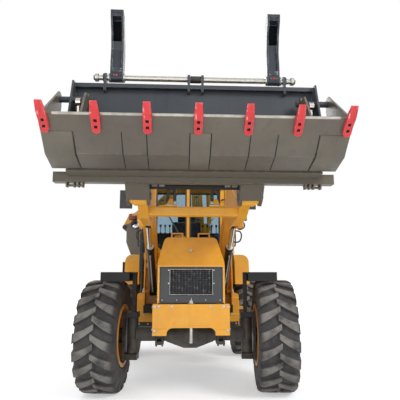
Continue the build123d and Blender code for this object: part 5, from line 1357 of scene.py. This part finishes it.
# %% [markdown]
# The backhoe's oil runs in steel lines clamped to the sides of its boom and dipper. One table gives the way
# of the lines and the places of the clamps, in side view, and two lines run side by side on each flank.
# %% Backhoe lines
STEEL_LINES = [
    ("boom", 108, ((215, 1010), (205, 1500), (198, 1950), (225, 2500), (255, 3020)),
     ((210, 1300), (203, 1700), (212, 2300), (238, 2750))),
    ("dipper", 83, ((330, 3190), (640, 2930), (980, 2610), (1250, 2370)), ((520, 3035), (900, 2690))),
]
for label, offset, row, clamps in STEEL_LINES:
    runs = []
    bm = bmesh.new()
    for side in (-1, 1):
        for gap in (-16, 16):
            runs.append([swung(side * offset, y + gap, z + gap * 0.4) for y, z in row])
        for y, z in clamps:
            inner = swung(side * (offset - 9), y - 32, z - 14)
            slab(bm, inner, swung(side * (offset + 11), y + 32, z + 14), 0.003)
            bar(bm, swung(side * (offset + 9), y, z), swung(side * (offset + 17), y, z), 0.008, 6, 0.001)
    pipes(label + "_steel_lines", label, runs, 0.0075, zinc)
    made(bm, label + "_line_clamps", label, cast)
print("backhoe lines:", [row[0] for row in STEEL_LINES])

# %% [markdown]
# Behind the bucket a tube with four hose couplings runs from ear to ear. The side shift plate is bolted
# through. Each fork pocket gets a near-black sheet, painted shade for the pocket's shadowed inside that
# shows as two dark slots, and collars sit on the lift rods' eyes. Two hoses loop at the outer side of the loader's
# arms.
# %% Coupler tube, carriage bolts, fork pocket shade and side hoses
pocket_painted_shade = finish_of("fork pocket painted shade", (0.004, 0.004, 0.005), (0.008, 0.008, 0.009), 0.8, shine=0.1)
bm = bmesh.new()
fittings = bmesh.new()
bar(bm, here(-404, -1262, 2010), here(404, -1262, 2010), 0.028, 28)
for side in (-1, 1):
    bar(bm, here(side * 180, -1262, 2010), here(side * 230, -1262, 2010), 0.036, 28, 0.004)
    for x in (286, 350):
        slab(fittings, here(side * (x - 24), -1304, 2000), here(side * (x + 24), -1286, 2022), 0.004)
        bar(bm, here(side * x, -1290, 2011), here(side * x, -1270, 2011), 0.012, 12)
made(bm, "coupler_tube", "bucket", black)
made(fittings, "coupler_fittings", "bucket", seat_edge)
bm = bmesh.new()
for x in (250, 650):
    for z in (540, 620, 1140, 1220):
        bar(bm, here(x, 3188, z), here(x, 3194, z), 0.026, 24, 0.002)
        bar(bm, here(x, 3193, z), here(x, 3208, z), 0.018, 6, 0.002)
made(bm, "carriage_bolts", "carriage", zinc)
# A near-black sheet in each fork pocket: painted shade for the pocket's shadowed inside.
POCKET = ((647, 19, 352), (723, 19, 352), (723, -47, 512), (647, -47, 512))
for label, side in (("left", 1), ("right", -1)):
    bm = bmesh.new()
    pocket = [here(side * x, FORK_Y + y, FORK_Z + z) for x, y, z in POCKET]
    sheet_of(bm, pocket, Vector((0, -0.0023, -0.0009)), 0.0008)
    made(bm, "fork_pocket_shade_" + label, "fork_" + label, pocket_painted_shade)
bm = bmesh.new()
for side in (-1, 1):
    bar(bm, here(side * 465, -205, 1782), here(side * 465, -235, 1800), 0.041, 28, 0.005)
made(bm, "lift_rod_collars", "lift_rod", cast)
SIDE_HOSE = ((562, 560, 1800), (640, 560, 1815), (676, 548, 1770), (664, 530, 1690), (620, 522, 1650),
             (562, 520, 1665))
runs = [[here(side * x, y, z) for x, y, z in SIDE_HOSE] for side in (-1, 1)]
pipes("arm_side_hoses", "arms", runs, 0.0095, hose_rubber)
print("coupler tube, bolts, pocket shade sheets and side hoses made")
